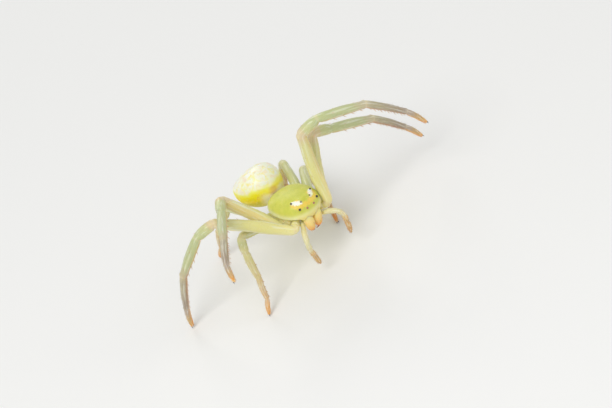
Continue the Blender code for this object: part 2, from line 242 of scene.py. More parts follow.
# Eyes by name: place ahead, place aside, radius
eyes = {
    "anterior_median": (1.255, 0.2, 0.05),
    "anterior_lateral": (1.11, 0.52, 0.062),
    "posterior_median": (1.02, 0.27, 0.045),
    "posterior_lateral": (0.7, 0.59, 0.05),
}

# Prosoma
prosoma = {
    "rear": -1.33,
    "front": 1.32,
    "halfWidth": 1.1,
    "top": 0.76,
    "peak": 0.6,
    "sternumDepth": 0.55,
    "sternumMiddle": -0.2,
    "lipDepth": 0.14,
    "squareOver": 2.3,
    "squareUnder": 1.25,
    "rimHeight": 0.018,
    "rings": 104,
    "around": 150,
}


def bulge(blunt, squareness, u):
    return max(1 - abs(u) ** blunt, 0.0) ** (1 / squareness)


def prosomaWidth(x):
    middle = (prosoma["rear"] + prosoma["front"]) / 2
    return prosoma["halfWidth"] * bulge(2.3, 2.2, (x - middle) / (prosoma["front"] - middle))


def prosomaTop(x):
    if x > prosoma["peak"]:
        return prosoma["top"] * bulge(3.5, 2.0, (x - prosoma["peak"]) / (prosoma["front"] - prosoma["peak"]))
    return prosoma["top"] * bulge(2.2, 1.6, (x - prosoma["peak"]) / (prosoma["rear"] - prosoma["peak"]))


def prosomaBottom(x):
    span = 1.2 if x > prosoma["sternumMiddle"] else prosoma["sternumMiddle"] - prosoma["rear"]
    belly = prosoma["sternumDepth"] * bulge(3.0, 2.0, (x - prosoma["sternumMiddle"]) / span)
    lip = prosoma["lipDepth"] * bulge(6.0, 2.0, (x - prosoma["rear"]) / (prosoma["front"] - prosoma["rear"]))
    return max(belly, lip)


# The head's front runs straight down below the eyes to the jaws
face = {
    "from": 0.5,
    "full": 0.95,
    "depth": 0.4,
    "square": 2.4,
    "halfWidth": 0.6,
    "cheekDepth": 0.16,
}


def faceShare(x):
    return blendBetween([(face["from"], 0.0), (face["full"], 1.0)], x)


def faceDepth(x):
    return face["depth"] * faceShare(x) * bulge(5.0, 2.2, max(x, 0) / prosoma["front"])


def carapacePoint(x, y):
    share = min(abs(y) / prosomaWidth(x), 1.0)
    turn = math.acos(share ** (prosoma["squareOver"] / 2))
    return Vector((x, y, prosomaTop(x) * math.sin(turn) ** (2 / prosoma["squareOver"])))


def carapaceNormal(x, y):
    step = 0.01
    ahead = carapacePoint(x + step, y) - carapacePoint(x - step, y)
    aside = carapacePoint(x, y + step) - carapacePoint(x, y - step)
    return ahead.cross(aside).normalized()


# Each eye stands on a soft swelling of the head
eyeSwell = {
    "anterior_median": 0.02,
    "anterior_lateral": 0.055,
    "posterior_median": 0.018,
    "posterior_lateral": 0.05,
}


def eyePlace(name, hand):
    ahead, aside, radius = eyes[name]
    spot = carapacePoint(ahead, aside * hand)
    out = carapaceNormal(spot.x, spot.y)
    return spot + out * eyeSwell[name], out, radius


def signedPower(value, power):
    return math.copysign(abs(value) ** power, value)


def squashedRing(x, width, top, bottom, over, under, count):
    ring = []
    for k in range(count):
        turn = 2 * math.pi * (k + 0.5) / count
        square = over if math.sin(turn) >= 0 else under
        flat = signedPower(math.cos(turn), 2 / square)
        high = signedPower(math.sin(turn), 2 / square)
        ring.append(Vector((x, width * flat, high * (top if high > 0 else bottom))))
    return ring


def roundedSteps(start, end, count):
    middle = (start + end) / 2
    half = (end - start) / 2
    return [middle - half * math.cos(math.pi * (i + 0.5) / count) for i in range(count)]


# One shell of the skin from rings; "place" keeps how far along and how far round
# each corner is, "OFBake" lays the shells side by side

skinShells = []
finishes = []


def shell(name, rings, alongs, cell, finish, bakeRows=None):
    count = len(rings[0])
    rows = len(rings)
    verts = [tuple(p * mm) for ring in rings for p in ring]
    for ring in (rings[0], rings[-1]):
        verts.append(tuple(sum(ring, Vector()) / count * mm))
    faces = []
    corners = []
    for i in range(rows - 1):
        for k in range(count):
            j = (k + 1) % count
            faces.append((i * count + k, i * count + j, (i + 1) * count + j, (i + 1) * count + k))
            corners += [(i, k), (i, k + 1), (i + 1, k + 1), (i + 1, k)]
    for k in range(count):
        j = (k + 1) % count
        faces.append((k, rows * count, j))
        corners += [(0, k), (0, k + 0.5), (0, k + 1)]
        faces.append(((rows - 1) * count + k, (rows - 1) * count + j, rows * count + 1))
        corners += [(rows - 1, k), (rows - 1, k + 1), (rows - 1, k + 0.5)]
    data = bpy.data.meshes.new(name)
    data.from_pydata(verts, [], faces)
    if not bakeRows:
        bakeRows = [(along - alongs[0]) / (alongs[-1] - alongs[0]) for along in alongs]
    place = data.uv_layers.new(name="place")
    bake = data.uv_layers.new(name="OFBake")
    placeValues = []
    bakeValues = []
    for i, k in corners:
        placeValues += [alongs[i], k / count]
        bakeValues += [cell[0] + (cell[2] - cell[0]) * k / count,
                       cell[1] + (cell[3] - cell[1]) * bakeRows[i]]
    place.data.foreach_set("uv", placeValues)
    bake.data.foreach_set("uv", bakeValues)
    for made in finishes:
        data.materials.append(made.material)
    data.polygons.foreach_set("material_index", [finishes.index(finish)] * len(data.polygons))
    data.update()
    made = bpy.data.objects.new(name, data)
    bpy.context.scene.collection.objects.link(made)
    skinShells.append(made)
    return made


def cellOf(area, columns, rows, index, gutter=0.06):
    width = (area[2] - area[0]) / columns
    height = (area[3] - area[1]) / rows
    column, row = index % columns, index // columns
    left = area[0] + column * width
    low = area[1] + row * height
    return (left + width * gutter, low + height * gutter,
            left + width * (1 - gutter), low + height * (1 - gutter))


unwrap = {
    "prosoma": (0.01, 0.01, 0.37, 0.36),
    "abdomen": (0.39, 0.01, 0.75, 0.36),
    "small": (0.76, 0.0, 1.0, 0.37),
    "limbs": (0.0, 0.38, 1.0, 1.0),
}
smallCells = iter(range(48))


def inArea(area, acrossShare, alongShare):
    return (area[0] + (area[2] - area[0]) * acrossShare, area[1] + (area[3] - area[1]) * alongShare)


def smallCell():
    return cellOf(unwrap["small"], 6, 8, next(smallCells))


# Finishes of the skin


# Strongest of the pigment spots on both sides of the head
def pigment(f, place, spots):
    share = None
    for ahead, aside, reach in spots:
        for hand in (1, -1):
            spot = f.near(place, carapacePoint(ahead, aside * hand), reach)
            share = spot if share is None else f.math("MAXIMUM", share, spot)
    return share


def carapaceFinish(name, pale=0.0):
    f = Finish(name, **fleshLook)
    place = f.bodyPlace()
    parts = f.add("SeparateXYZ", {0: place}).outputs
    x, y, z = parts[0], parts[1], parts[2]
    mottle = f.noise(place, 2.2, 4.0)
    fine = f.noise(place, 11.0, 3.0)
    dome = f.ramp(mottle, [(0.3, tint(200, 204, 80)), (0.52, tint(212, 213, 97)),
                           (0.75, tint(220, 219, 118))])
    # Fine darker veins fan out from the middle of the back
    spokes = f.math("ARCTAN2", y, f.plus(x, 0.4))
    veins = f.noise(f.add("CombineXYZ", {0: f.times(spokes, 3.0), 1: mottle}).outputs[0], 3.4, 2.0)
    veins = f.times(f.spread(veins, 0.5, 0.64), f.spread(z, 0.1, 0.4))
    dome = f.mix(f.times(veins, 0.12), dome, tint(180, 200, 76))
    # Pale rim low on the flank and a creamy face below the eyes
    rim = f.times(f.spread(z, 0.3, 0.05), f.spread(z, -0.2, -0.05))
    colour = f.mix(f.times(rim, 0.8), dome, tint(240, 238, 190))
    colour = f.mix(f.times(f.spread(x, -1.02, -1.22), 0.7), colour, tint(236, 236, 196))
    colour = f.mix(f.spread(x, -1.3, -1.38), colour, tint(206, 198, 126))
    cheeks = f.times(f.spread(x, 0.86, 1.16), f.spread(z, 0.26, -0.08))
    colour = f.mix(f.times(cheeks, 0.8), colour, tint(232, 217, 128))
    lower = f.times(f.spread(x, 0.95, 1.15), f.spread(z, 0.05, -0.3))
    colour = f.mix(f.times(lower, 0.9), colour, tint(248, 216, 138))
    under = f.times(f.spread(z, -0.08, -0.3), f.spread(x, 1.0, 0.8))
    colour = f.mix(under, colour, tint(228, 220, 144))
    # Opaque pigment round the eyes: white on the sides of the head, gold between
    ragged = f.minus(f.noise(place, 15.0, 3.0, 0.6), 0.5)
    gold = f.spread(f.plus(pigment(f, place, eyeGold), ragged), 0.2, 0.72)
    colour = f.mix(f.times(gold, 0.8), colour, f.mix(fine, tint(250, 226, 120), tint(240, 196, 64)))
    white = f.spread(f.plus(pigment(f, place, eyeWhite), ragged), 0.16, 0.74)
    colour = f.mix(f.times(white, 0.95), colour, tint(255, 253, 240))
    # A thin dusky ring hugs each lens
    for eyeName, (ahead, aside, radius) in eyes.items():
        for side in (1, -1):
            ring = f.near(place, eyePlace(eyeName, side)[0], radius * 1.6)
            colour = f.mix(f.times(f.spread(ring, 0.12, 0.5), 0.55), colour, eyeRims[eyeName])
    if pale:
        colour = f.mix(pale, colour, tint(255, 253, 236))
        f.shader.inputs["Subsurface Weight"].default_value = 0.0
    f.join(colour, "Base Color")
    f.shader.inputs["Subsurface Radius"].default_value = (1.0, 0.9, 0.4)
    f.shader.inputs["Roughness"].default_value = 0.5
    f.shader.inputs["Specular IOR Level"].default_value = 0.35
    f.bump(f.plus(fine, f.times(f.noise(place, 38.0, 2.0), 0.4)), 0.22, 0.00002)
    return f


# Highest near its front, sloping down to the rear; half z is its depth below the middle
abdomen = {
    "centre": Vector((-2.665, 0.175, 0.0)),
    "half": Vector((1.21, 1.14, 0.885)),
    "top": 1.27,
    "rearSlope": 0.74,
    "taper": 0.1,
    "square": 2.1,
    "rings": 96,
    "around": 120,
}


# Pairs of muscle dimples on the back: place ahead of the middle, place aside
dimples = ((0.42, 0.26), (0.02, 0.36), (-0.42, 0.3))
waistMark = (-1.5, 0.1, 0.2)


# Height of the back over the middle; u runs from -1 at the rear to 1 at the front
def abdomenTop(u):
    return abdomen["top"] * (1 - abdomen["rearSlope"] * ((1 - u) / 2) ** 2)


def dimplePlace(ahead, aside):
    half = abdomen["half"]
    rise = math.sqrt(max(1 - (ahead / half.x) ** 2 - (aside / half.y) ** 2, 0))
    return abdomen["centre"] + Vector((ahead, aside, abdomenTop(ahead / half.x) * rise))


def abdomenFinish(name, pale=0.0):
    f = Finish(name, **fleshLook)
    place = f.bodyPlace()
    local = f.add("VectorMath", {0: place, 1: tuple(abdomen["centre"])}, operation="SUBTRACT").outputs[0]
    unit = f.add("VectorMath", {0: local, 1: tuple(abdomen["half"])}, operation="DIVIDE").outputs[0]
    parts = f.add("SeparateXYZ", {0: unit}).outputs
    x = parts[0]
    # Heights count from 0 at the middle to 1 on the back, also where it slopes
    slope = f.math("POWER", f.times(f.minus(1.0, x), 0.5), 2.0)
    back = f.times(f.minus(1.0, f.times(slope, abdomen["rearSlope"])),
                  abdomen["top"] / abdomen["half"].z)
    z = f.plus(f.math("DIVIDE", f.math("MAXIMUM", parts[2], 0.0), back), f.math("MINIMUM", parts[2], 0.0))
    wobble = f.times(f.minus(f.noise(place, 1.7, 3.0), 0.5), 0.34)
    lift = f.minus(0.17, f.times(f.spread(x, 0.0, 0.8), 0.18))
    height = f.plus(z, f.plus(wobble, lift))
    # From the belly up: olive, mustard, a clear yellow band, then cream
    flank = f.ramp(f.times(f.plus(height, 1.0), 0.5), [
        (0.08, tint(214, 210, 110)), (0.28, tint(206, 194, 48)), (0.4, tint(212, 196, 10)),
        (0.5, tint(246, 224, 8)), (0.6, tint(254, 236, 30)), (0.68, tint(254, 242, 112)),
        (0.76, tint(254, 249, 208))])
    cloud = f.spread(f.noise(place, 7.0, 3.0), 0.5, 0.66)
    flank = f.mix(f.times(cloud, 0.25), flank, tint(252, 240, 130))
    # White grains crowd on the back, with rosy and yellow gaps between
    blotch = f.noise(place, 3.2, 2.0, 0.5, 0.4)
    grain = f.noise(place, 10.0, 3.0, 0.55)
    top = f.ramp(f.plus(blotch, f.times(f.minus(grain, 0.5), 0.3)), [
        (0.3, tint(250, 228, 202)), (0.42, tint(253, 242, 212)), (0.54, tint(254, 251, 230)),
        (0.7, tint(254, 253, 240))])
    yellow = f.spread(f.noise(place, 3.1, 3.0, 0.6, 1.0), 0.5, 0.66)
    top = f.mix(f.times(yellow, 0.7), top, tint(252, 236, 116))
    colour = f.mix(f.spread(height, 0.32, 0.56), flank, top)
    # Pale front with a rosy brown spot over the waist
    front = f.times(f.spread(x, 0.66, 0.9), f.spread(height, 0.3, 0.02))
    colour = f.mix(f.times(front, 0.8), colour, tint(236, 232, 200))
    spot = f.near(place, waistMark, 0.42)
    colour = f.mix(f.times(f.spread(spot, 0.1, 0.95), 0.5), colour, tint(214, 164, 130))
    # Rosy flecks border the yellow band
    fleck = f.times(f.spread(f.noise(place, 9.0, 2.0), 0.58, 0.66), f.spread(height, -0.12, 0.02))
    fleck = f.times(fleck, f.spread(height, 0.3, 0.12))
    colour = f.mix(f.times(fleck, 0.3), colour, tint(226, 150, 96))
    for ahead, aside in dimples:
        for hand in (1, -1):
            pit = f.near(place, dimplePlace(ahead, aside * hand), 0.1)
            colour = f.mix(f.times(pit, 0.4), colour, tint(214, 186, 130))
    if pale:
        colour = f.mix(pale, colour, tint(255, 253, 240))
        f.shader.inputs["Subsurface Weight"].default_value = 0.0
    f.join(colour, "Base Color")
    f.shader.inputs["Subsurface Radius"].default_value = (1.0, 0.85, 0.45)
    f.bump(f.plus(grain, f.noise(place, 34.0, 2.0)), 0.28, 0.00002)
    return f


# Colours along a limb: stops are places from 0 at its root to 1 at its tip
def limbFinish(name, over, under, pale=0.0):
    f = Finish(name, **fleshLook)
    where = f.add("UVMap", uv_map="place").outputs[0]
    parts = f.add("SeparateXYZ", {0: where}).outputs
    place = f.rowPlace()
    wander = f.times(f.minus(f.noise(place, 3.0, 3.0), 0.5), 0.02)
    along = f.plus(f.times(parts[0], 1 / 6), wander)
    above = f.ramp(along, over)
    below = f.ramp(along, under)
    turn = f.math("COSINE", f.times(parts[1], 2 * math.pi))
    low = f.spread(f.plus(turn, f.times(wander, 12.0)), -0.2, -0.85)
    colour = f.mix(low, above, below)
    # Painted highlights run lengthwise as pale streaks, with small green and tan flecks
    stretched = f.add("VectorMath", {0: where, 1: (1.2, 9.0, 1.0)}, operation="MULTIPLY").outputs[0]
    highlightStreak = f.spread(f.noise(stretched, 1.6, 2.0), 0.5, 0.68)
    colour = f.mix(f.times(highlightStreak, 0.45), colour, tint(240, 243, 232))
    flecks = f.spread(f.noise(place, 14.0, 2.0), 0.56, 0.7)
    colour = f.mix(f.times(flecks, 0.16), colour, tint(186, 170, 96))
    # Pale soft skin at the joints
    toJoint = f.math("ABSOLUTE", f.minus(f.math("FRACT", f.plus(parts[0], 6.0)), 0.5))
    colour = f.mix(f.times(f.spread(toJoint, 0.475, 0.497), 0.3), colour, tint(236, 222, 190))
    if pale:
        colour = f.mix(pale, colour, tint(255, 252, 234))
        f.shader.inputs["Subsurface Weight"].default_value = 0.0
    f.join(colour, "Base Color")
    f.shader.inputs["Subsurface Radius"].default_value = (1.0, 0.9, 0.55)
    f.bump(f.noise(place, 30.0, 3.0), 0.2, 0.00002)
    return f


longLegColours = {
    "over": [(0.0, tint(248, 240, 190)), (0.12, tint(240, 232, 170)), (0.24, tint(224, 219, 148)),
             (0.31, tint(217, 215, 156)), (0.332, tint(216, 200, 158)), (0.365, tint(206, 208, 154)),
             (0.5, tint(192, 199, 148)), (0.61, tint(190, 195, 148)), (0.66, tint(196, 186, 154)),
             (0.7, tint(179, 170, 143)), (0.81, tint(166, 150, 131)), (0.85, tint(180, 164, 148)),
             (0.93, tint(200, 170, 120)), (1.0, tint(222, 162, 82))],
    "under": [(0.0, tint(252, 241, 194)), (0.16, tint(238, 225, 154)), (0.33, tint(220, 205, 140)),
              (0.45, tint(208, 196, 130)), (0.58, tint(218, 188, 118)), (0.665, tint(202, 156, 118)),
              (0.8, tint(176, 134, 112)), (0.87, tint(216, 166, 98)), (1.0, tint(226, 146, 66))],
}
shortLegColours = {
    "over": [(0.0, tint(232, 226, 158)), (0.2, tint(200, 204, 150)), (0.33, tint(200, 201, 148)),
             (0.5, tint(212, 205, 150)), (0.63, tint(214, 202, 150)), (0.7, tint(212, 192, 148)),
             (0.83, tint(214, 184, 142)), (0.93, tint(226, 178, 118)), (1.0, tint(222, 156, 80))],
    "under": [(0.0, tint(224, 212, 128)), (0.33, tint(200, 194, 122)), (0.5, tint(208, 193, 126)),
              (0.66, tint(208, 178, 128)), (0.83, tint(204, 160, 118)), (1.0, tint(226, 150, 72))],
}
palpColours = {
    "over": [(0.0, tint(226, 220, 166)), (0.3, tint(218, 213, 172)), (0.48, tint(216, 206, 160)),
             (0.58, tint(214, 182, 124)), (0.85, tint(206, 170, 112)), (1.0, tint(200, 148, 92))],
    "under": [(0.0, tint(220, 212, 152)), (0.46, tint(214, 202, 142)), (0.6, tint(204, 162, 102)),
              (1.0, tint(198, 138, 82))],
}


def cheliceraFinish(name):
    f = Finish(name, **fleshLook)
    place = f.bodyPlace()
    parts = f.add("SeparateXYZ", {0: place}).outputs
    wander = f.times(f.minus(f.noise(place, 6.0, 3.0), 0.5), 0.14)
    depth = f.times(f.plus(parts[2], wander), -1.0)
    f.join(f.ramp(depth, [(0.1, tint(252, 228, 150)), (0.5, tint(250, 216, 136)), (0.7, tint(249, 200, 116)),
                          (0.84, tint(246, 164, 72)), (0.96, tint(226, 112, 34))]), "Base Color")
    f.shader.inputs["Subsurface Radius"].default_value = (1.0, 0.7, 0.3)
    f.shader.inputs["Subsurface Scale"].default_value = 0.00012
    f.bump(f.plus(f.noise(place, 28.0, 3.0), f.noise(place, 9.0, 2.0)), 0.22, 0.00002)
    return f


def spinneretFinish(name):
    f = Finish(name, **fleshLook)
    place = f.rowPlace()
    f.grained(place, 9.0, 3.0, tint(206, 184, 96), tint(236, 216, 140))
    f.shader.inputs["Subsurface Radius"].default_value = (1.0, 0.8, 0.4)
    f.shader.inputs["Subsurface Scale"].default_value = 0.00007
    f.bump(f.noise(place, 30.0, 3.0), 0.3, 0.00002)
    return f


carapaceSkin = carapaceFinish("green carapace")
abdomenSkin = abdomenFinish("cream and yellow abdomen")
longLegSkin = limbFinish("long leg skin", **longLegColours)
shortLegSkin = limbFinish("short leg skin", **shortLegColours)
palpSkin = limbFinish("palp skin", **palpColours)
cheliceraSkin = cheliceraFinish("honey jaws")
spinneretSkin = spinneretFinish("straw spinnerets")
finishes += [carapaceSkin, abdomenSkin, longLegSkin, shortLegSkin, palpSkin, cheliceraSkin, spinneretSkin]
print("finishes of the skin made")

# Body shells


def prosomaShell():
    rings = []
    steps = roundedSteps(prosoma["rear"], prosoma["front"], prosoma["rings"])
    swellings = [(carapacePoint(ahead, aside * hand), eyePlace(name, hand)[1], radius * 1.7, eyeSwell[name])
                 for name, (ahead, aside, radius) in eyes.items() for hand in (1, -1)]
    for x in steps:
        under = prosoma["squareUnder"] + (face["square"] - prosoma["squareUnder"]) * faceShare(x)
        ring = squashedRing(x, prosomaWidth(x), prosomaTop(x), max(prosomaBottom(x), faceDepth(x)),
                            prosoma["squareOver"], under, prosoma["around"])
        cheek = min(face["halfWidth"] / max(prosomaWidth(x), 0.01), 1.0)
        for p in ring:
            if p.z < 0:
                narrow = faceShare(x) * blendBetween([(0.0, 0.0), (face["cheekDepth"], 1.0)], -p.z)
                p.y *= 1 - (1 - cheek) * narrow
            reach = min(1.0, prosomaWidth(x) / 0.4) * blendBetween([(0.7, 1), (1.05, 0)], x)
            rim = math.exp(-((p.z - 0.03) / 0.035) ** 2) * reach
            groove = math.exp(-((p.z + 0.07) / 0.04) ** 2) * reach
            outward = Vector((p.x * 0.6, p.y, 0))
            if outward.length > 0.05:
                p += outward.normalized() * (rim - groove) * prosoma["rimHeight"]
            # Shallow furrows part the head from the chest behind it
            if p.z > 0.1:
                furrow = abs(p.y) - 0.12 - (0.45 - p.x) * -0.75
                fade = blendBetween([(-0.7, 0), (-0.3, 1), (0.4, 0)], p.x)
                depth = 0.02 * math.exp(-(furrow / 0.09) ** 2) * fade
                pit = 0.03 * math.exp(-((p.x + 0.42) / 0.12) ** 2 - (p.y / 0.05) ** 2)
                p.z -= depth + pit
            push = Vector()
            for spot, out, wide, rise in swellings:
                push += out * rise * math.exp(-((p - spot).length / wide) ** 2)
            p += push
        rings.append([overFloor(p) for p in ring])
    return shell("prosomaShell", rings, steps, unwrap["prosoma"], carapaceSkin)


# Surface of the abdomen in the body's frame, x along it and turn round it
def abdomenPoint(x, turn):
    half = abdomen["half"]
    u = (x - abdomen["centre"].x) / half.x
    swell = bulge(abdomen["square"], 2.0, u)
    flat = signedPower(math.cos(turn), 2 / abdomen["square"])
    high = signedPower(math.sin(turn), 2 / abdomen["square"])
    width = half.y * swell * (1 - abdomen["taper"] * u)
    height = swell * (abdomenTop(u) if high > 0 else half.z)
    return abdomen["centre"] + Vector((u * half.x, width * flat, height * high))


def abdomenNormal(x, turn):
    step = 0.01
    ahead = abdomenPoint(x + step, turn) - abdomenPoint(x - step, turn)
    around = abdomenPoint(x, turn + step) - abdomenPoint(x, turn - step)
    return ahead.cross(around).normalized()


def abdomenShell():
    rings = []
    half = abdomen["half"]
    steps = roundedSteps(abdomen["centre"].x - half.x, abdomen["centre"].x + half.x, abdomen["rings"])
    for x in steps:
        ring = []
        for k in range(abdomen["around"]):
            p = abdomenPoint(x, 2 * math.pi * (k + 0.5) / abdomen["around"])
            local = p - abdomen["centre"]
            out = local.normalized()
            if local.z > 0.3:
                for ahead, aside in dimples:
                    for hand in (1, -1):
                        gap = Vector((local.x - ahead, local.y - aside * hand)).length
                        p -= out * 0.022 * math.exp(-(gap / 0.055) ** 2)
            # Fine folds over the waist and down the flanks
            crease = max(0.0, (local.x / half.x - 0.55) / 0.45)
            p -= out * 0.012 * crease * math.sin(local.z * 26 + local.y * 4)
            side = max(0.0, 1 - abs(local.z + 0.15) / 0.5) * max(0.0, 1 - abs(local.x) / 1.1)
            p -= out * 0.007 * side * math.sin(local.z * 30 + math.sin(local.x * 4) * 1.5)
            ring.append(overFloor(p))
        rings.append(ring)
    return shell("abdomenShell", rings, steps, unwrap["abdomen"], abdomenSkin)


# A closed round body from start to end, thick as its profile says, with domed ends
def barrel(name, start, end, profile, finish, cell=None, across=None, count=20, cap=0.6,
           bow=0.0, flatten=1.0, bowAlong=None):
    along = (end - start).normalized()
    length = (end - start).length
    across = across or along.orthogonal()
    across = (across - along * across.dot(along)).normalized()
    over = along.cross(across)
    rings = []
    places = []
    near = blendBetween(profile, 0.0)
    far = blendBetween(profile, 1.0)
    steps = []
    for i in range(1, 6):
        turn = math.pi / 2 * i / 6
        steps.append((-near * cap * math.cos(turn), near * math.sin(turn)))
    body = max(8, int(length / 0.07))
    for i in range(body + 1):
        t = i / body
        steps.append((t * length, blendBetween(profile, t)))
    for i in range(1, 6):
        turn = math.pi / 2 * (1 - i / 6)
        steps.append((length + far * cap * math.cos(turn), far * math.sin(turn)))
    for distance, radius in steps:
        t = min(max(distance / length, 0.0), 1.0)
        middle = start + along * distance + (bowAlong or over) * bow * 4 * t * (1 - t)
        ring = []
        for k in range(count):
            turn = 2 * math.pi * k / count
            ring.append(middle + (over * math.cos(turn) + across * math.sin(turn) * flatten) * radius)
        rings.append(ring)
        places.append((distance + near * cap) / (length + near * cap + far * cap))
    return shell(name, rings, places, cell or smallCell(), finish)


# Coxae, by pair: femur root on the left and the hub that each pair springs from
legRoots = {1: (1.0, 1.12, -0.4), 2: (0.43, 1.26, -0.42), 3: (-0.37, 1.2, -0.4), 4: (-0.95, 1.05, -0.42)}
legHubs = {1: (0.42, 0.3, -0.4), 2: (0.16, 0.35, -0.42), 3: (-0.12, 0.35, -0.38), 4: (-0.35, 0.3, -0.36)}
trochanterLength = 0.3


def coxaDirection(side, pair):
    return (onSide(legRoots[pair], side) - onSide(legHubs[pair], side)).normalized()


jaws = {
    "ahead": 1.08,
    "aside": 0.25,
    "taper": 0.05,
    "top": -0.3,
    "length": 0.68,
    "span": (-0.3, 0.86),
    "profile": [(0.0, 0.24), (0.3, 0.264), (0.5, 0.262), (0.7, 0.246), (0.85, 0.222), (1.0, 0.175)],
}
jawCells = {side: smallCell() for side in sides}


def jawSpot(side, share, ahead=0.0):
    return onSide((jaws["ahead"] + ahead, jaws["aside"] - share * jaws["taper"],
                   jaws["top"] - share * jaws["length"]), side)


# How far along its own span a place on the jaw is
def jawShare(share):
    low, high = jaws["span"]
    return (share - low) / (high - low)


# Where a place on the jaw lies on the unwrap, past the domed root
def jawBake(side, share, turn):
    return inArea(jawCells[side], turn / (2 * math.pi) % 1.0, 0.13 + 0.8 * jawShare(share))


# Stout jaws run into the face above them; the lip and mouth plates close the mouth behind
def jawShells():
    front = bodyTurn @ Vector((1, 0, 0))
    across = bodyTurn @ Vector((0, 1, 0))
    for side in sides:
        start, end = (overFloor(jawSpot(side, share)) for share in jaws["span"])
        barrel("jaw", start, end, jaws["profile"], cheliceraSkin, jawCells[side], across, 56,
               bow=0.02, bowAlong=front)
    barrel("lip", overFloor((0.62, 0, -0.42)), overFloor((0.82, 0, -0.56)),
           [(0.0, 0.12), (0.6, 0.11), (1.0, 0.07)], carapaceSkin, across=across, flatten=1.3)
    for side in sides:
        start, end = (overFloor(onSide(point, side)) for point in ((0.62, 0.32, -0.44), (0.86, 0.2, -0.66)))
        barrel("mouthPlate", start, end,
               [(0.0, 0.12), (0.5, 0.13), (1.0, 0.08)], carapaceSkin)


def waistShell():
    start = overFloor((prosoma["rear"] + 0.3, 0, -0.08))
    end = overFloor((abdomen["centre"].x + abdomen["half"].x - 0.25, 0.06, -0.06))
    barrel("waist", start, end, [(0.0, 0.16), (0.6, 0.13), (1.0, 0.17)], carapaceSkin)


def spinneretShells():
    half = abdomen["half"]
    root = Vector((abdomen["centre"].x - half.x * 0.985, abdomen["centre"].y, abdomen["centre"].z - 0.3))
    back = Vector((-0.9, 0, -0.35)).normalized()
    barrel("spinneretBase", overFloor(root - back * 0.1), overFloor(root + back * 0.12),
           [(0.0, 0.22), (0.5, 0.23), (1.0, 0.16)], spinneretSkin)
    for aside, up, length, radius in ((0.1, 0.08, 0.27, 0.085), (-0.1, 0.08, 0.27, 0.085),
                                      (0.1, -0.09, 0.33, 0.095), (-0.1, -0.09, 0.33, 0.095),
                                      (0.0, -0.01, 0.2, 0.06)):
        start = root + back * 0.06 + Vector((0, aside, up))
        end = start + (back + Vector((0, aside * 0.8, up * 0.8))).normalized() * length
        barrel("spinneret", overFloor(start), overFloor(end),
               [(0.0, radius), (0.55, radius * 0.95), (0.62, radius * 0.7), (1.0, radius * 0.5)],
               spinneretSkin)
    # Anal knob above the spinnerets
    barrel("tailKnob", overFloor(root + Vector((0.02, 0, 0.2))), overFloor(root + Vector((-0.1, 0, 0.17))),
           [(0.0, 0.13), (0.5, 0.11), (1.0, 0.07)], abdomenSkin)


prosomaShell()
abdomenShell()
jawShells()
waistShell()
spinneretShells()
print("body shells made")

# Legs: lengths of femur, patella, tibia, metatarsus and tarsus by pair
legLengths = {
    1: (3.8, 1.05, 2.3, 1.97, 1.14),
    2: (3.25, 1.06, 2.3, 1.95, 1.12),
    3: (2.0, 0.78, 1.4, 1.09, 0.75),
    4: (2.15, 0.8, 1.5, 1.15, 0.76),
}

# Azimuth ahead of straight out, elevation and lean of the femur, then the bends
# at knee, patella, tibia and metatarsus, in degrees
legStance = {
    ("left", 1): (-18.6, 80.3, -48.0, 66.6, 29.6, 29.7, 17.1),
    ("left", 2): (-4.5, 68.5, -9.0, 99.9, -1.5, 23.6, 10.2),
    ("left", 3): (-57.6, -0.9, -7.5, 43.7, 50.5, 66.6, -4.6),
    ("left", 4): (-64.1, 7.4, 12.6, 40.0, 35.2, 66.0, 21.0),
    ("right", 1): (-33.7, 36.3, 5.3, 58.9, 27.7, 20.2, 10.1),
    ("right", 2): (-52.0, 51.4, -102.6, 96.4, -0.9, 1.2, 17.5),
    ("right", 3): (3.3, 23.5, -9.4, 96.7, 10.2, -5.7, -17.5),
    ("right", 4): (-74.5, 13.4, 1.6, 67.8, -5.2, 21.1, -15.0),
}
raisedLegs = {("left", 1), ("left", 2), ("right", 2)}
footRest = 0.08

# Half thickness of each length as (place, size)
longProfile = {
    "coxa": [(0.0, 0.15), (0.5, 0.205), (0.85, 0.215), (1.0, 0.205)],
    "trochanter": [(0.0, 0.2), (0.5, 0.235), (1.0, 0.225)],
    "femur": [(0.0, 0.225), (0.12, 0.25), (0.36, 0.298), (0.7, 0.272), (0.95, 0.237), (1.0, 0.242)],
    "patella": [(0.0, 0.235), (0.3, 0.262), (0.7, 0.258), (0.95, 0.222), (1.0, 0.23)],
    "tibia": [(0.0, 0.205), (0.15, 0.228), (0.5, 0.232), (0.93, 0.19), (0.97, 0.2), (1.0, 0.198)],
    "metatarsus": [(0.0, 0.17), (0.12, 0.18), (0.5, 0.168), (0.94, 0.142), (1.0, 0.15)],
    "tarsus": [(0.0, 0.125), (0.15, 0.137), (0.6, 0.125), (0.9, 0.1), (1.0, 0.075)],
}
shortProfile = {
    "coxa": [(0.0, 0.14), (0.5, 0.195), (0.85, 0.2), (1.0, 0.19)],
    "trochanter": [(0.0, 0.18), (0.5, 0.2), (1.0, 0.19)],
    "femur": [(0.0, 0.185), (0.12, 0.205), (0.38, 0.232), (0.7, 0.215), (0.95, 0.19), (1.0, 0.195)],
    "patella": [(0.0, 0.19), (0.3, 0.215), (0.7, 0.21), (0.95, 0.18), (1.0, 0.185)],
    "tibia": [(0.0, 0.165), (0.15, 0.185), (0.5, 0.187), (0.93, 0.155), (1.0, 0.162)],
    "metatarsus": [(0.0, 0.14), (0.15, 0.148), (0.5, 0.138), (0.94, 0.12), (1.0, 0.125)],
    "tarsus": [(0.0, 0.108), (0.2, 0.118), (0.6, 0.108), (0.9, 0.09), (1.0, 0.07)],
}
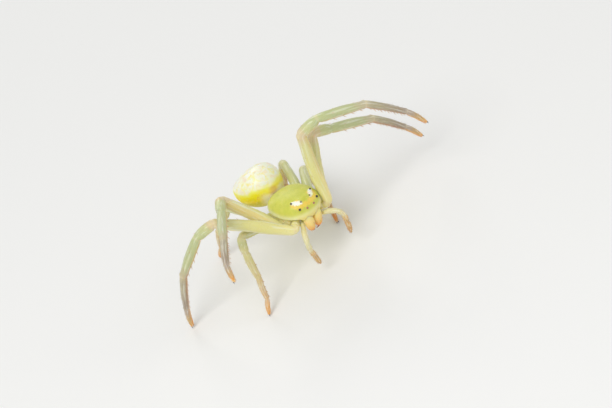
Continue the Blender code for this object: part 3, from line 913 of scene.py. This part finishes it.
bows = {
    "coxa": 0.0,
    "trochanter": 0.0,
    "femur": 0.05,
    "patella": 0.015,
    "tibia": 0.02,
    "metatarsus": 0.03,
    "tarsus": 0.02,
}
legParts = ("coxa", "trochanter", "femur", "patella", "tibia", "metatarsus", "tarsus")

palps = {
    "root": (0.95, 0.56, -0.6),
    "lengths": (0.8, 0.36, 0.42, 0.72),
    "left": (57.9, -0.3, -0.7, 44.7, 50.3, 1.2),
    "right": (43.7, -40.8, 0.6, 40.8, 24.7, -2.0),
    "parts": ("coxa", "femur", "patella", "tibia", "tarsus"),
    "hip": (0.78, 0.42, -0.5),
}
palpProfile = {
    "coxa": [(0.0, 0.13), (0.5, 0.15), (1.0, 0.125)],
    "femur": [(0.0, 0.12), (0.3, 0.138), (0.9, 0.13), (1.0, 0.13)],
    "patella": [(0.0, 0.115), (0.5, 0.135), (1.0, 0.125)],
    "tibia": [(0.0, 0.11), (0.6, 0.135), (1.0, 0.13)],
    "tarsus": [(0.0, 0.112), (0.3, 0.132), (0.75, 0.115), (1.0, 0.06)],
}


def turned(direction, axis, degrees):
    return Matrix.Rotation(math.radians(degrees), 3, axis) @ direction


# Joint places of a limb that bends in one plane, and that plane's axis
def limbJoints(root, side, lengths, angles):
    azimuth, elevation, lean = (math.radians(a) for a in angles[:3])
    hand = 1 if side == "left" else -1
    flat = Vector((hand * math.cos(azimuth), -math.sin(azimuth), 0))
    along = flat * math.cos(elevation) + Vector((0, 0, math.sin(elevation)))
    axis = turned(Vector((0, 0, 1)).cross(flat), along, math.degrees(lean) * hand)
    joints = [root]
    for length, bend in zip(lengths, angles[3:] + (0,)):
        joints.append(joints[-1] + along * length)
        along = turned(along, axis, bend)
    return joints, axis


# The same limb with its femur raised or lowered until the claws rest on the floor
def standingJoints(root, side, lengths, angles):
    low, high = angles[1] - 12, angles[1] + 12
    for _ in range(40):
        middle = (low + high) / 2
        joints, axis = limbJoints(root, side, lengths, (angles[0], middle) + angles[2:])
        if joints[-1].z > footRest:
            high = middle
        else:
            low = middle
    return joints, axis


jointLook = {"elbow": 1.06, "groove": 0.09, "grooveWidth": 0.035, "lip": 0.035, "lipWidth": 0.06}


# Rings along a limb: straight lengths joined by tight elbows, with a groove of soft
# skin at each joint and a small lip above it
def limbStations(joints, axis, profiles, marks, bowSizes):
    count = len(profiles)
    directions = [(joints[i + 1] - joints[i]).normalized() for i in range(count)]
    lengths = [(joints[i + 1] - joints[i]).length for i in range(count)]
    bends = [0.0] + [directions[i].angle(directions[i + 1]) for i in range(count - 1)] + [0.0]
    sizes = [0.0] + [blendBetween(profiles[i], 1.0) * jointLook["elbow"] for i in range(count - 1)] + [0.0]
    trims = [sizes[j] * math.tan(bends[j] / 2) for j in range(count + 1)]
    crosses = [axis] * count
    for i in reversed(range(count - 1)):
        if abs(directions[i].dot(axis)) > 0.001:
            hinge = directions[i].cross(directions[i + 1]).normalized()
            crosses[i] = Matrix.Rotation(-bends[i + 1], 3, hinge) @ crosses[i + 1]
    stations = []
    path = 0.0
    edges = []
    for i in range(count):
        low, high = trims[i], lengths[i] - trims[i + 1]
        reach = high - low
        steps = [0.0]
        while steps[-1] < reach - 1e-6:
            edge = min(steps[-1], reach - steps[-1])
            steps.append(min(steps[-1] + (0.022 if edge < 0.13 else 0.075), reach))
        if len(steps) > 2 and steps[-1] - steps[-2] < 0.01:
            steps.pop(-2)
        over = directions[i].cross(crosses[i])
        for step in steps:
            t = (low + step) / lengths[i]
            rise = bowSizes[i] * math.sin(math.pi * step / reach) ** 2
            stations.append({"middle": joints[i] + directions[i] * (low + step) + over * rise,
                             "along": directions[i], "across": crosses[i],
                             "size": blendBetween(profiles[i], t), "path": path + step,
                             "place": marks[i] + (marks[i + 1] - marks[i]) * (0.02 + 0.96 * step / reach)})
        path += reach
        if i + 1 == count:
            break
        bend, radius = bends[i + 1], sizes[i + 1]
        edges.append(path + radius * bend / 2)
        if bend > 0.03:
            hinge = directions[i].cross(directions[i + 1]).normalized()
            start = joints[i + 1] - directions[i] * trims[i + 1]
            pivot = start + hinge.cross(directions[i]) * radius
            parts = max(3, int(radius * bend / 0.028))
            before = stations[-1]["size"]
            after = blendBetween(profiles[i + 1], trims[i + 1] / lengths[i + 1])
            for part in range(1, parts):
                share = part / parts
                swing = Matrix.Rotation(bend * share, 3, hinge)
                smooth = share * share * (3 - 2 * share)
                stations.append({"middle": pivot + swing @ (start - pivot), "along": swing @ directions[i],
                                 "across": swing @ crosses[i], "size": before + (after - before) * smooth,
                                 "path": path + radius * bend * share,
                                 "place": marks[i + 1] + (marks[i + 1] - marks[i]) * 0.02 * (2 * share - 1)})
        path += radius * bend
    for station in stations:
        size = station["size"]
        for edge in edges:
            gap = station["path"] - edge
            size *= 1 - jointLook["groove"] * math.exp(-(gap / jointLook["grooveWidth"]) ** 2)
            size *= 1 + jointLook["lip"] * math.exp(-((gap + 0.09) / jointLook["lipWidth"]) ** 2)
        station["size"] = size
        station["over"] = station["along"].cross(station["across"])
    return stations


def ringOf(station, count, flatten=0.95):
    ring = []
    for k in range(count):
        turn = 2 * math.pi * k / count
        ring.append(station["middle"] + (station["over"] * math.cos(turn)
                                         + station["across"] * math.sin(turn) * flatten) * station["size"])
    return ring


# Domed end beyond the first or last ring
def domed(station, outward, depth, rows=5):
    ends = []
    for i in range(1, rows + 1):
        rise = math.pi / 2 * i / (rows + 0.6)
        ends.append(dict(station, middle=station["middle"] + station["along"] * outward * depth
                         * station["size"] * math.sin(rise), size=station["size"] * math.cos(rise),
                         place=station["place"] + outward * 0.004 * i,
                         path=station["path"] + outward * depth * station["size"] * math.sin(rise)))
    return ends


limbs = []
limbSides = 26


def limbShell(name, column, joints, axis, parts, profiles, finish, marks):
    cell = cellOf(unwrap["limbs"], 10, 1, column, 0.05)
    stations = limbStations(joints, axis, [profiles[part] for part in parts], marks,
                            [bows[part] for part in parts])
    limb = {"stations": stations, "cell": cell, "places": [station["place"] for station in stations]}
    rows = list(reversed(domed(stations[0], -1, 0.6))) + stations + domed(stations[-1], 1, 0.9)
    rings = [ringOf(station, limbSides) for station in rows]
    for ring in rings:
        for p in ring:
            p.z = max(p.z, floorGap)
    first, last = rows[0]["path"], rows[-1]["path"]
    limb["bakeRows"] = (first, last)
    shell(name, rings, [station["place"] for station in rows], cell, finish,
          [(station["path"] - first) / (last - first) for station in rows])
    limbs.append(limb)
    return limb


# A point on a limb's skin and its outward direction; place counts the lengths, turn
# is 0 on top and a half circle below
def limbSpot(limb, place, turn):
    places = limb["places"]
    i = min(max(bisect.bisect_right(places, place) - 1, 0), len(places) - 2)
    share = min(max((place - places[i]) / max(places[i + 1] - places[i], 1e-6), 0.0), 1.0)
    low, high = limb["stations"][i], limb["stations"][i + 1]
    out = low["over"] * math.cos(turn) + low["across"] * math.sin(turn)
    middle = low["middle"].lerp(high["middle"], share)
    size = low["size"] + (high["size"] - low["size"]) * share
    path = low["path"] + (high["path"] - low["path"]) * share
    first, last = limb["bakeRows"]
    bake = inArea(limb["cell"], turn / (2 * math.pi) % 1.0, (path - first) / (last - first))
    return middle + out * size * 0.97, out, low["along"], bake


def makeLimbs():
    column = 0
    for side in sides:
        for pair in legRoots:
            root = overFloor(onSide(legRoots[pair], side))
            solve = limbJoints if (side, pair) in raisedLegs else standingJoints
            joints, axis = solve(root, side, legLengths[pair], legStance[side, pair])
            inner = bodyTurn @ coxaDirection(side, pair)
            joints[-1] = joints[-2] + (joints[-1] - joints[-2]) * 0.93
            joints.insert(0, root - inner * trochanterLength)
            joints.insert(0, overFloor(onSide(legHubs[pair], side)))
            limb = limbShell("leg_%s_%d" % (side, pair), column, joints, axis, legParts,
                             longProfile if pair < 3 else shortProfile,
                             longLegSkin if pair < 3 else shortLegSkin, [-1, 0, 1, 2, 3, 4, 5, 6])
            limb["pair"] = pair
            column += 1
        root = overFloor(onSide(palps["root"], side))
        joints, axis = limbJoints(root, side, palps["lengths"], palps[side])
        joints[-1] = joints[-2] + (joints[-1] - joints[-2]) * 0.96
        joints.insert(0, overFloor(onSide(palps["hip"], side)))
        limb = limbShell("palp_" + side, column, joints, axis, palps["parts"], palpProfile, palpSkin,
                         [-1, 0, 1.5, 3, 4.5, 6])
        limb["pair"] = 0
        column += 1


makeLimbs()
print("limb shells made:", len(skinShells))


# Union of all the shells, so that the skin has no inner walls
def fuseSkin():
    group = bpy.data.collections.new("shells")
    bpy.context.scene.collection.children.link(group)
    skin = skinShells[0]
    for piece in skinShells[1:]:
        bpy.context.scene.collection.objects.unlink(piece)
        group.objects.link(piece)
    union = skin.modifiers.new("union", "BOOLEAN")
    union.operation = "UNION"
    union.operand_type = "COLLECTION"
    union.collection = group
    union.solver = "MANIFOLD"
    bpy.context.view_layer.objects.active = skin
    bpy.ops.object.modifier_apply(modifier=union.name)
    for piece in skinShells[1:]:
        bpy.data.objects.remove(piece, do_unlink=True)
    bpy.data.collections.remove(group)
    skin.name = "skin"
    skin.data.name = "skin"
    return skin


# Round off the creases where the shells meet, all of them or those within reach of spot
def softenCreases(skin, angle=22, rings=3, passes=10, spot=None, reach=0.0):
    mesh = bmesh.new()
    mesh.from_mesh(skin.data)
    creased = set()
    for edge in mesh.edges:
        if len(edge.link_faces) == 2 and edge.calc_face_angle_signed() < -math.radians(angle):
            if not spot or (edge.verts[0].co / mm - spot).length < reach:
                creased.update(edge.verts)
    for _ in range(rings):
        creased.update([edge.other_vert(vert) for vert in creased for edge in vert.link_edges])
    for _ in range(passes):
        bmesh.ops.smooth_vert(mesh, verts=list(creased), factor=0.5,
                              use_axis_x=True, use_axis_y=True, use_axis_z=True)
    mesh.to_mesh(skin.data)
    mesh.free()
    skin.data.shade_smooth()
    skin.data.set_sharp_from_angle(angle=math.radians(40))


skin = fuseSkin()
softenCreases(skin)
softenCreases(skin, 6, 4, 20, overFloor((1.2, 0, -0.3)), 0.7)
print("skin fused:", len(skin.data.polygons), "faces")
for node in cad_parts:
    if not node.startswith("eye"):
        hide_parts(node)
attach(skin, "root")

# Spines, hairs, claws and fangs are solid tapered strands set into the skin
chance = random.Random(11)
hairPatch = 0.003     # share of the unwrap that one strand takes


def newCoat(name, coatFinishes):
    return {"name": name, "finishes": coatFinishes,
            "verts": [], "faces": [], "slots": [], "place": [], "bake": []}


# One strand from root: it rises from the skin and bows toward lean; rise is 1 upright
def addStrand(coat, finish, root, out, lean, length, thick, rise, sideCount=3, steps=3,
              place=(0, 0), bake=(0, 0)):
    start = (out * rise + lean * (1 - rise)).normalized()
    end = (out * rise * 0.35 + lean).normalized()
    shares = [i / steps for i in range(steps + 1)]
    middles = [root + (start * t + (end - start) * (t * t / 2)) * length for t in shares]
    if not insideBox(middles[-1]):
        return
    across = out.cross(lean).normalized()
    over = across.cross(start)
    first = len(coat["verts"])
    for i in range(steps):
        size = thick * (1 - i / steps) ** 0.7
        for k in range(sideCount):
            turn = 2 * math.pi * k / sideCount
            p = middles[i] + (across * math.cos(turn) + over * math.sin(turn)) * size
            coat["verts"].append((p.x * mm, p.y * mm, max(p.z, floorGap) * mm))
    tip = middles[-1]
    coat["verts"].append((tip.x * mm, tip.y * mm, max(tip.z, floorGap) * mm))
    faces = []
    for i in range(steps - 1):
        for k in range(sideCount):
            j = (k + 1) % sideCount
            faces.append(((i, k), (i, j), (i + 1, j), (i + 1, k)))
    faces += [((steps - 1, k), (steps - 1, (k + 1) % sideCount), (steps, 0)) for k in range(sideCount)]
    faces.append(tuple((0, k) for k in reversed(range(sideCount))))
    index = coat["finishes"].index(finish)
    for face in faces:
        coat["faces"].append([first + i * sideCount + k for i, k in face])
        coat["slots"].append(index)
        for i, k in face:
            coat["place"] += place
            coat["bake"] += [bake[0] + hairPatch * (k / sideCount - 0.5),
                             bake[1] + hairPatch * (i / steps - 0.5)]


def insideBox(p):
    low, high = cadBox
    return all(low[i] < p[i] * mm < high[i] for i in range(3))


def finishCoat(coat):
    data = bpy.data.meshes.new(coat["name"])
    data.from_pydata(coat["verts"], [], coat["faces"])
    data.uv_layers.new(name="place").data.foreach_set("uv", coat["place"])
    data.uv_layers.new(name="OFBake").data.foreach_set("uv", coat["bake"])
    data.uv_layers["OFBake"].active = True
    data.uv_layers["OFBake"].active_render = True
    for made in coat["finishes"]:
        data.materials.append(made.material)
    data.polygons.foreach_set("material_index", coat["slots"])
    data.update()
    data.shade_smooth()
    piece = bpy.data.objects.new(coat["name"], data)
    bpy.context.scene.collection.objects.link(piece)
    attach(piece, "root")
    print(coat["name"], "faces:", len(data.polygons))


legSpines = {
    "length": 0.23,
    "thick": 0.02,
    "tibia": (0.3, 0.5, 0.68, 0.86),
    "metatarsus": (0.1, 0.2, 0.28, 0.36, 0.44, 0.52, 0.6, 0.68, 0.76, 0.84, 0.91),
    "aside": 0.64,           # turn from straight below, in radians
    "femurTop": (0.42, 0.56, 0.7),
    "shortLength": 0.17,
    "shortThick": 0.011,
}
legHairs = {
    "perMillimetre": 62,
    "length": (0.07, 0.13),
    "thick": 0.0045,
    "fine": 0.26,            # the long upright feeler hairs
    "tuft": 16,
}


def spineFinish():
    f = Finish("straw spines", Roughness=0.32, IOR=1.5, Subsurface_Weight=0.4, Subsurface_Scale=0.00003)
    place = f.rowPlace()
    f.grained(place, 8.0, 2.0, tint(178, 138, 92), tint(222, 190, 144))
    return f


def clawFinish():
    f = Finish("dark claws", Roughness=0.2, IOR=1.55, Coat_Weight=0.5)
    place = f.rowPlace()
    f.grained(place, 14.0, 2.0, tint(34, 38, 56), tint(74, 70, 82))
    return f


def fangFinish():
    f = Finish("amber fangs", Roughness=0.2, IOR=1.55, Coat_Weight=0.5)
    place = f.bodyPlace()
    f.grained(place, 12.0, 2.0, tint(110, 40, 12), tint(176, 78, 22))
    return f


def limbLength(limb, mark):
    inside = [station["path"] for station in limb["stations"] if mark <= station["place"] <= mark + 1]
    return max(inside) - min(inside)


def makeSpines():
    straw = spineFinish()
    coat = newCoat("spines", [straw])
    for limb in limbs:
        if limb["pair"] == 0:
            continue
        long = limb["pair"] < 3
        rows = []
        for mark, name in ((3, "tibia"), (4, "metatarsus")):
            places = legSpines[name] if long else legSpines[name][1::3]
            for share in places:
                fade = 1.0 if long else 0.55
                minor = long and name == "metatarsus" and legSpines[name].index(share) % 2 == 0
                for hand in (-1, 1):
                    rows.append((mark + share, math.pi + hand * legSpines["aside"],
                                 legSpines["length"] * fade * (0.62 if minor else 1.0), 0.62))
        if long:
            rows += [(1 + share, -0.9 if limb["pair"] == 1 else 0.5, legSpines["shortLength"], 0.55)
                     for share in legSpines["femurTop"]]
        rows += [(2 + share, 0.0, legSpines["shortLength"], 0.5) for share in (0.15, 0.85)]
        rows += [(3 + share, turn, legSpines["shortLength"], 0.5)
                 for share in (0.3, 0.75) for turn in (-0.9, 0.9)]
        for place, turn, length, rise in rows:
            spot, out, along, bake = limbSpot(limb, place + chance.uniform(-0.01, 0.01), turn)
            thick = legSpines["thick"] if rise > 0.6 else legSpines["shortThick"]
            addStrand(coat, straw, spot - out * 0.02, out, along, length, thick, rise, 6, 5,
                      place=(place, turn / (2 * math.pi)), bake=bake)
    finishCoat(coat)


def makeLimbHairs():
    longHair = limbFinish("long leg hair", pale=0.35, **longLegColours)
    shortHair = limbFinish("short leg hair", pale=0.35, **shortLegColours)
    palpHair = limbFinish("palp hair", pale=0.2, **palpColours)
    coat = newCoat("legHairs", [longHair, shortHair, palpHair])
    for limb in limbs:
        finish = palpHair if limb["pair"] == 0 else (longHair if limb["pair"] < 3 else shortHair)
        for mark in range(6):
            length = limbLength(limb, mark)
            dense = legHairs["perMillimetre"] * (1.7 if mark >= 4 else 1.0)
            dense *= 1.6 if limb["pair"] == 0 else 1.0
            for _ in range(int(length * dense)):
                place = mark + chance.uniform(0.03, 0.97)
                turn = chance.uniform(0, 2 * math.pi)
                spot, out, along, bake = limbSpot(limb, place, turn)
                side = along.cross(out) * chance.uniform(-0.35, 0.35)
                reach = chance.uniform(*legHairs["length"]) * (0.75 if mark >= 4 else 1.0)
                if limb["pair"] == 0 and mark >= 4 and chance.random() < 0.2:
                    reach *= 1.9
                addStrand(coat, finish, spot, out, (along + side).normalized(), reach, legHairs["thick"],
                          chance.uniform(0.3, 0.6), place=(place, turn / (2 * math.pi)), bake=bake)
        if limb["pair"]:
            for place in (3.1, 3.2, 3.3, 4.15, 4.35, 4.6, 4.85, 5.3, 5.5, 5.7):
                spot, out, along, bake = limbSpot(limb, place, chance.uniform(-0.35, 0.35))
                addStrand(coat, finish, spot, out, along, legHairs["fine"] * (0.7 + 0.3 * (place % 1)),
                          0.0038, 0.85, steps=4, place=(place, 0.0), bake=bake)
        for _ in range(legHairs["tuft"]):
            turn = math.pi + chance.uniform(-1.3, 1.3)
            spot, out, along, bake = limbSpot(limb, chance.uniform(5.86, 5.99), turn)
            addStrand(coat, finish, spot, out, along, chance.uniform(0.06, 0.09), 0.005,
                      chance.uniform(0.1, 0.4), place=(5.95, turn / (2 * math.pi)), bake=bake)
    finishCoat(coat)


# Two curved claws end each leg, one smaller claw each palp
def makeClaws():
    dark = clawFinish()
    amber = fangFinish()
    coat = newCoat("claws", [dark])
    for limb in limbs:
        end = limb["stations"][-1]
        bake = limbSpot(limb, 5.99, 0.0)[3]
        size = end["size"]
        for hand in (-1, 1) if limb["pair"] else (0,):
            root = (end["middle"] + end["along"] * size * 0.45 + end["across"] * hand * size * 0.4
                    + end["over"] * size * 0.25)
            out = (end["along"] * 0.9 + end["over"] * 0.55 + end["across"] * hand * 0.35).normalized()
            lean = (end["along"] * 0.35 - end["over"]).normalized()
            length = 0.15 if limb["pair"] else 0.09
            addStrand(coat, dark, root, out, lean, length, 0.024, 0.86, 8, 8, bake=bake)
    finishCoat(coat)
    coat = newCoat("fangs", [amber])
    for side in sides:
        hand = 1 if side == "left" else -1
        root = overFloor(jawSpot(side, 0.93, 0.03))
        out = (bodyTurn @ Vector((0.15, -0.25 * hand, -1))).normalized()
        lean = (bodyTurn @ Vector((-0.5, -0.9 * hand, -0.1))).normalized()
        addStrand(coat, amber, root, out, lean, 0.24, 0.048, 0.6, 10, 8, bake=jawBake(side, 0.9, 0.0))
    finishCoat(coat)


bodyHairs = {"carapace": 130, "abdomen": 560, "face": 40, "thick": 0.0045}


def carapaceBake(x, y):
    turn = math.acos(min(abs(y) / prosomaWidth(x), 1.0) ** (prosoma["squareOver"] / 2))
    if y < 0:
        turn = math.pi - turn
    along = (x - prosoma["rear"]) / (prosoma["front"] - prosoma["rear"])
    return inArea(unwrap["prosoma"], turn / (2 * math.pi), along)


def makeBodyHairs():
    carapaceHair = carapaceFinish("carapace hair", 0.5)
    abdomenHair = abdomenFinish("abdomen hair", 0.5)
    jawHair = spineFinish()
    coat = newCoat("bodyHairs", [carapaceHair, abdomenHair, jawHair])
    forward = bodyTurn @ Vector((1, 0, 0))
    for i in range(bodyHairs["carapace"]):
        x = chance.uniform(-1.15, 1.2)
        y = chance.uniform(-0.88, 0.88) * prosomaWidth(x)
        out = bodyTurn @ carapaceNormal(x, y)
        spot = overFloor(carapacePoint(x, y)) - out * 0.004
        lean = (forward - out * forward.dot(out)).normalized()
        longer = 1.6 if x > 0.45 and i % 4 == 0 else 1
        addStrand(coat, carapaceHair, spot, out, lean, chance.uniform(0.05, 0.09) * longer,
                  bodyHairs["thick"], chance.uniform(0.35, 0.6), bake=carapaceBake(x, y))
    half = abdomen["half"]
    for _ in range(bodyHairs["abdomen"]):
        x = abdomen["centre"].x + chance.uniform(-0.96, 0.9) * half.x
        turn = chance.uniform(0, 2 * math.pi)
        p = abdomenPoint(x, turn)
        local = p - abdomen["centre"]
        out = bodyTurn @ abdomenNormal(x, turn)
        lean = (-forward + out * forward.dot(out)).normalized()
        bake = inArea(unwrap["abdomen"], turn / (2 * math.pi), (local.x / half.x + 1) / 2)
        addStrand(coat, abdomenHair, overFloor(p) - out * 0.012, out, lean, chance.uniform(0.07, 0.12),
                  bodyHairs["thick"], chance.uniform(0.35, 0.55), bake=bake)
    # Bristles on the front of the jaws
    for i in range(bodyHairs["face"]):
        side = sides[i % 2]
        hand = 1 if side == "left" else -1
        share = chance.uniform(0.15, 0.85)
        aside = chance.uniform(-1.0, 1.0)
        out = (bodyTurn @ Vector((math.cos(aside), math.sin(aside), 0))).normalized()
        size = blendBetween(jaws["profile"], jawShare(share))
        spot = overFloor(jawSpot(side, share, 0.02)) + out * size * 0.94
        lean = (bodyTurn @ Vector((0.2, -0.3 * hand, -1))).normalized()
        addStrand(coat, jawHair, spot, out, lean, chance.uniform(0.06, 0.12), 0.005,
                  chance.uniform(0.35, 0.6), bake=jawBake(side, share, aside))
    finishCoat(coat)


makeSpines()
makeLimbHairs()
makeBodyHairs()
makeClaws()
print("coat made")

# Eyes: clear domes over dark or rosy pits
eyeColours = {
    "anterior_median": tint(176, 112, 92),
    "anterior_lateral": tint(26, 16, 12),
    "posterior_median": tint(120, 110, 104),
    "posterior_lateral": tint(58, 42, 30),
}


def eyeFinish(name):
    f = Finish("lens " + name.replace("_", " "), Roughness=0.06, IOR=1.5,
               Coat_Weight=1.0, Coat_Roughness=0.03)
    f.shader.inputs["Base Color"].default_value = eyeColours[name]
    return f


def makeEye(name, side, finish):
    spot, out, radius = eyePlace(name, 1 if side == "left" else -1)
    count = 28
    verts = []
    faces = []
    rows = 9
    turn = out.to_track_quat("Z", "Y").to_matrix()
    for i in range(rows):
        rise = math.pi / 2 * (i / rows) - 0.35
        for k in range(count):
            around = 2 * math.pi * k / count
            local = Vector((math.cos(around) * math.cos(rise), math.sin(around) * math.cos(rise),
                            math.sin(rise))) * radius
            verts.append(tuple(overFloor(spot + turn @ local) * mm))
    for i in range(rows - 1):
        for k in range(count):
            j = (k + 1) % count
            faces.append((i * count + k, i * count + j, (i + 1) * count + j, (i + 1) * count + k))
    verts.append(tuple(overFloor(spot + out * radius) * mm))
    for k in range(count):
        faces.append(((rows - 1) * count + k, (rows - 1) * count + (k + 1) % count, len(verts) - 1))
    faces.append(tuple(reversed(range(count))))
    data = bpy.data.meshes.new("lens_%s_%s" % (name, side))
    data.from_pydata(verts, [], faces)
    data.shade_smooth()
    data.materials.append(finish.material)
    eye = bpy.data.objects.new(data.name, data)
    bpy.context.scene.collection.objects.link(eye)
    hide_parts("eye_%s_%s" % (name, side))
    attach(eye, "root")


for name in eyes:
    finish = eyeFinish(name)
    for side in sides:
        makeEye(name, side, finish)
print("eyes set")

# Floor and light
stage = {"floor": tint(240, 240, 238), "world": 0.56}


def makeStage():
    data = bpy.data.meshes.new("floor")
    r = 0.6
    data.from_pydata([(-r, -r, 0), (r, -r, 0), (r, r, 0), (-r, r, 0)], [], [(0, 1, 2, 3)])
    f = Finish("pale floor", Roughness=0.85)
    f.shader.inputs["Base Color"].default_value = stage["floor"]
    data.materials.append(f.material)
    floor = bpy.data.objects.new("floor", data)
    bpy.context.scene.collection.objects.link(floor)
    world = bpy.data.worlds.new("studio")
    world.use_nodes = True
    world.node_tree.nodes["Background"].inputs["Color"].default_value = (1, 1, 1, 1)
    world.node_tree.nodes["Background"].inputs["Strength"].default_value = stage["world"]
    bpy.context.scene.world = world


def areaLight(name, toward, distance, size, power, colour=(1, 1, 1)):
    data = bpy.data.lights.new(name, "AREA")
    data.shape = "DISK"
    data.size = size
    data.energy = power
    data.color = colour
    lamp = bpy.data.objects.new(name, data)
    middle = posture["middle"] * mm
    lamp.location = middle + Vector(toward).normalized() * distance
    lamp.rotation_euler = Vector(toward).normalized().to_track_quat("Z", "Y").to_euler()
    bpy.context.scene.collection.objects.link(lamp)


makeStage()
areaLight("key", (-0.55, -0.35, 0.85), 0.12, 0.07, 0.068)
areaLight("fill", (0.7, -0.6, 0.5), 0.16, 0.1, 0.025)
areaLight("rim", (0.4, 0.9, 0.5), 0.14, 0.06, 0.03)
bpy.context.scene.view_settings.view_transform = "Standard"
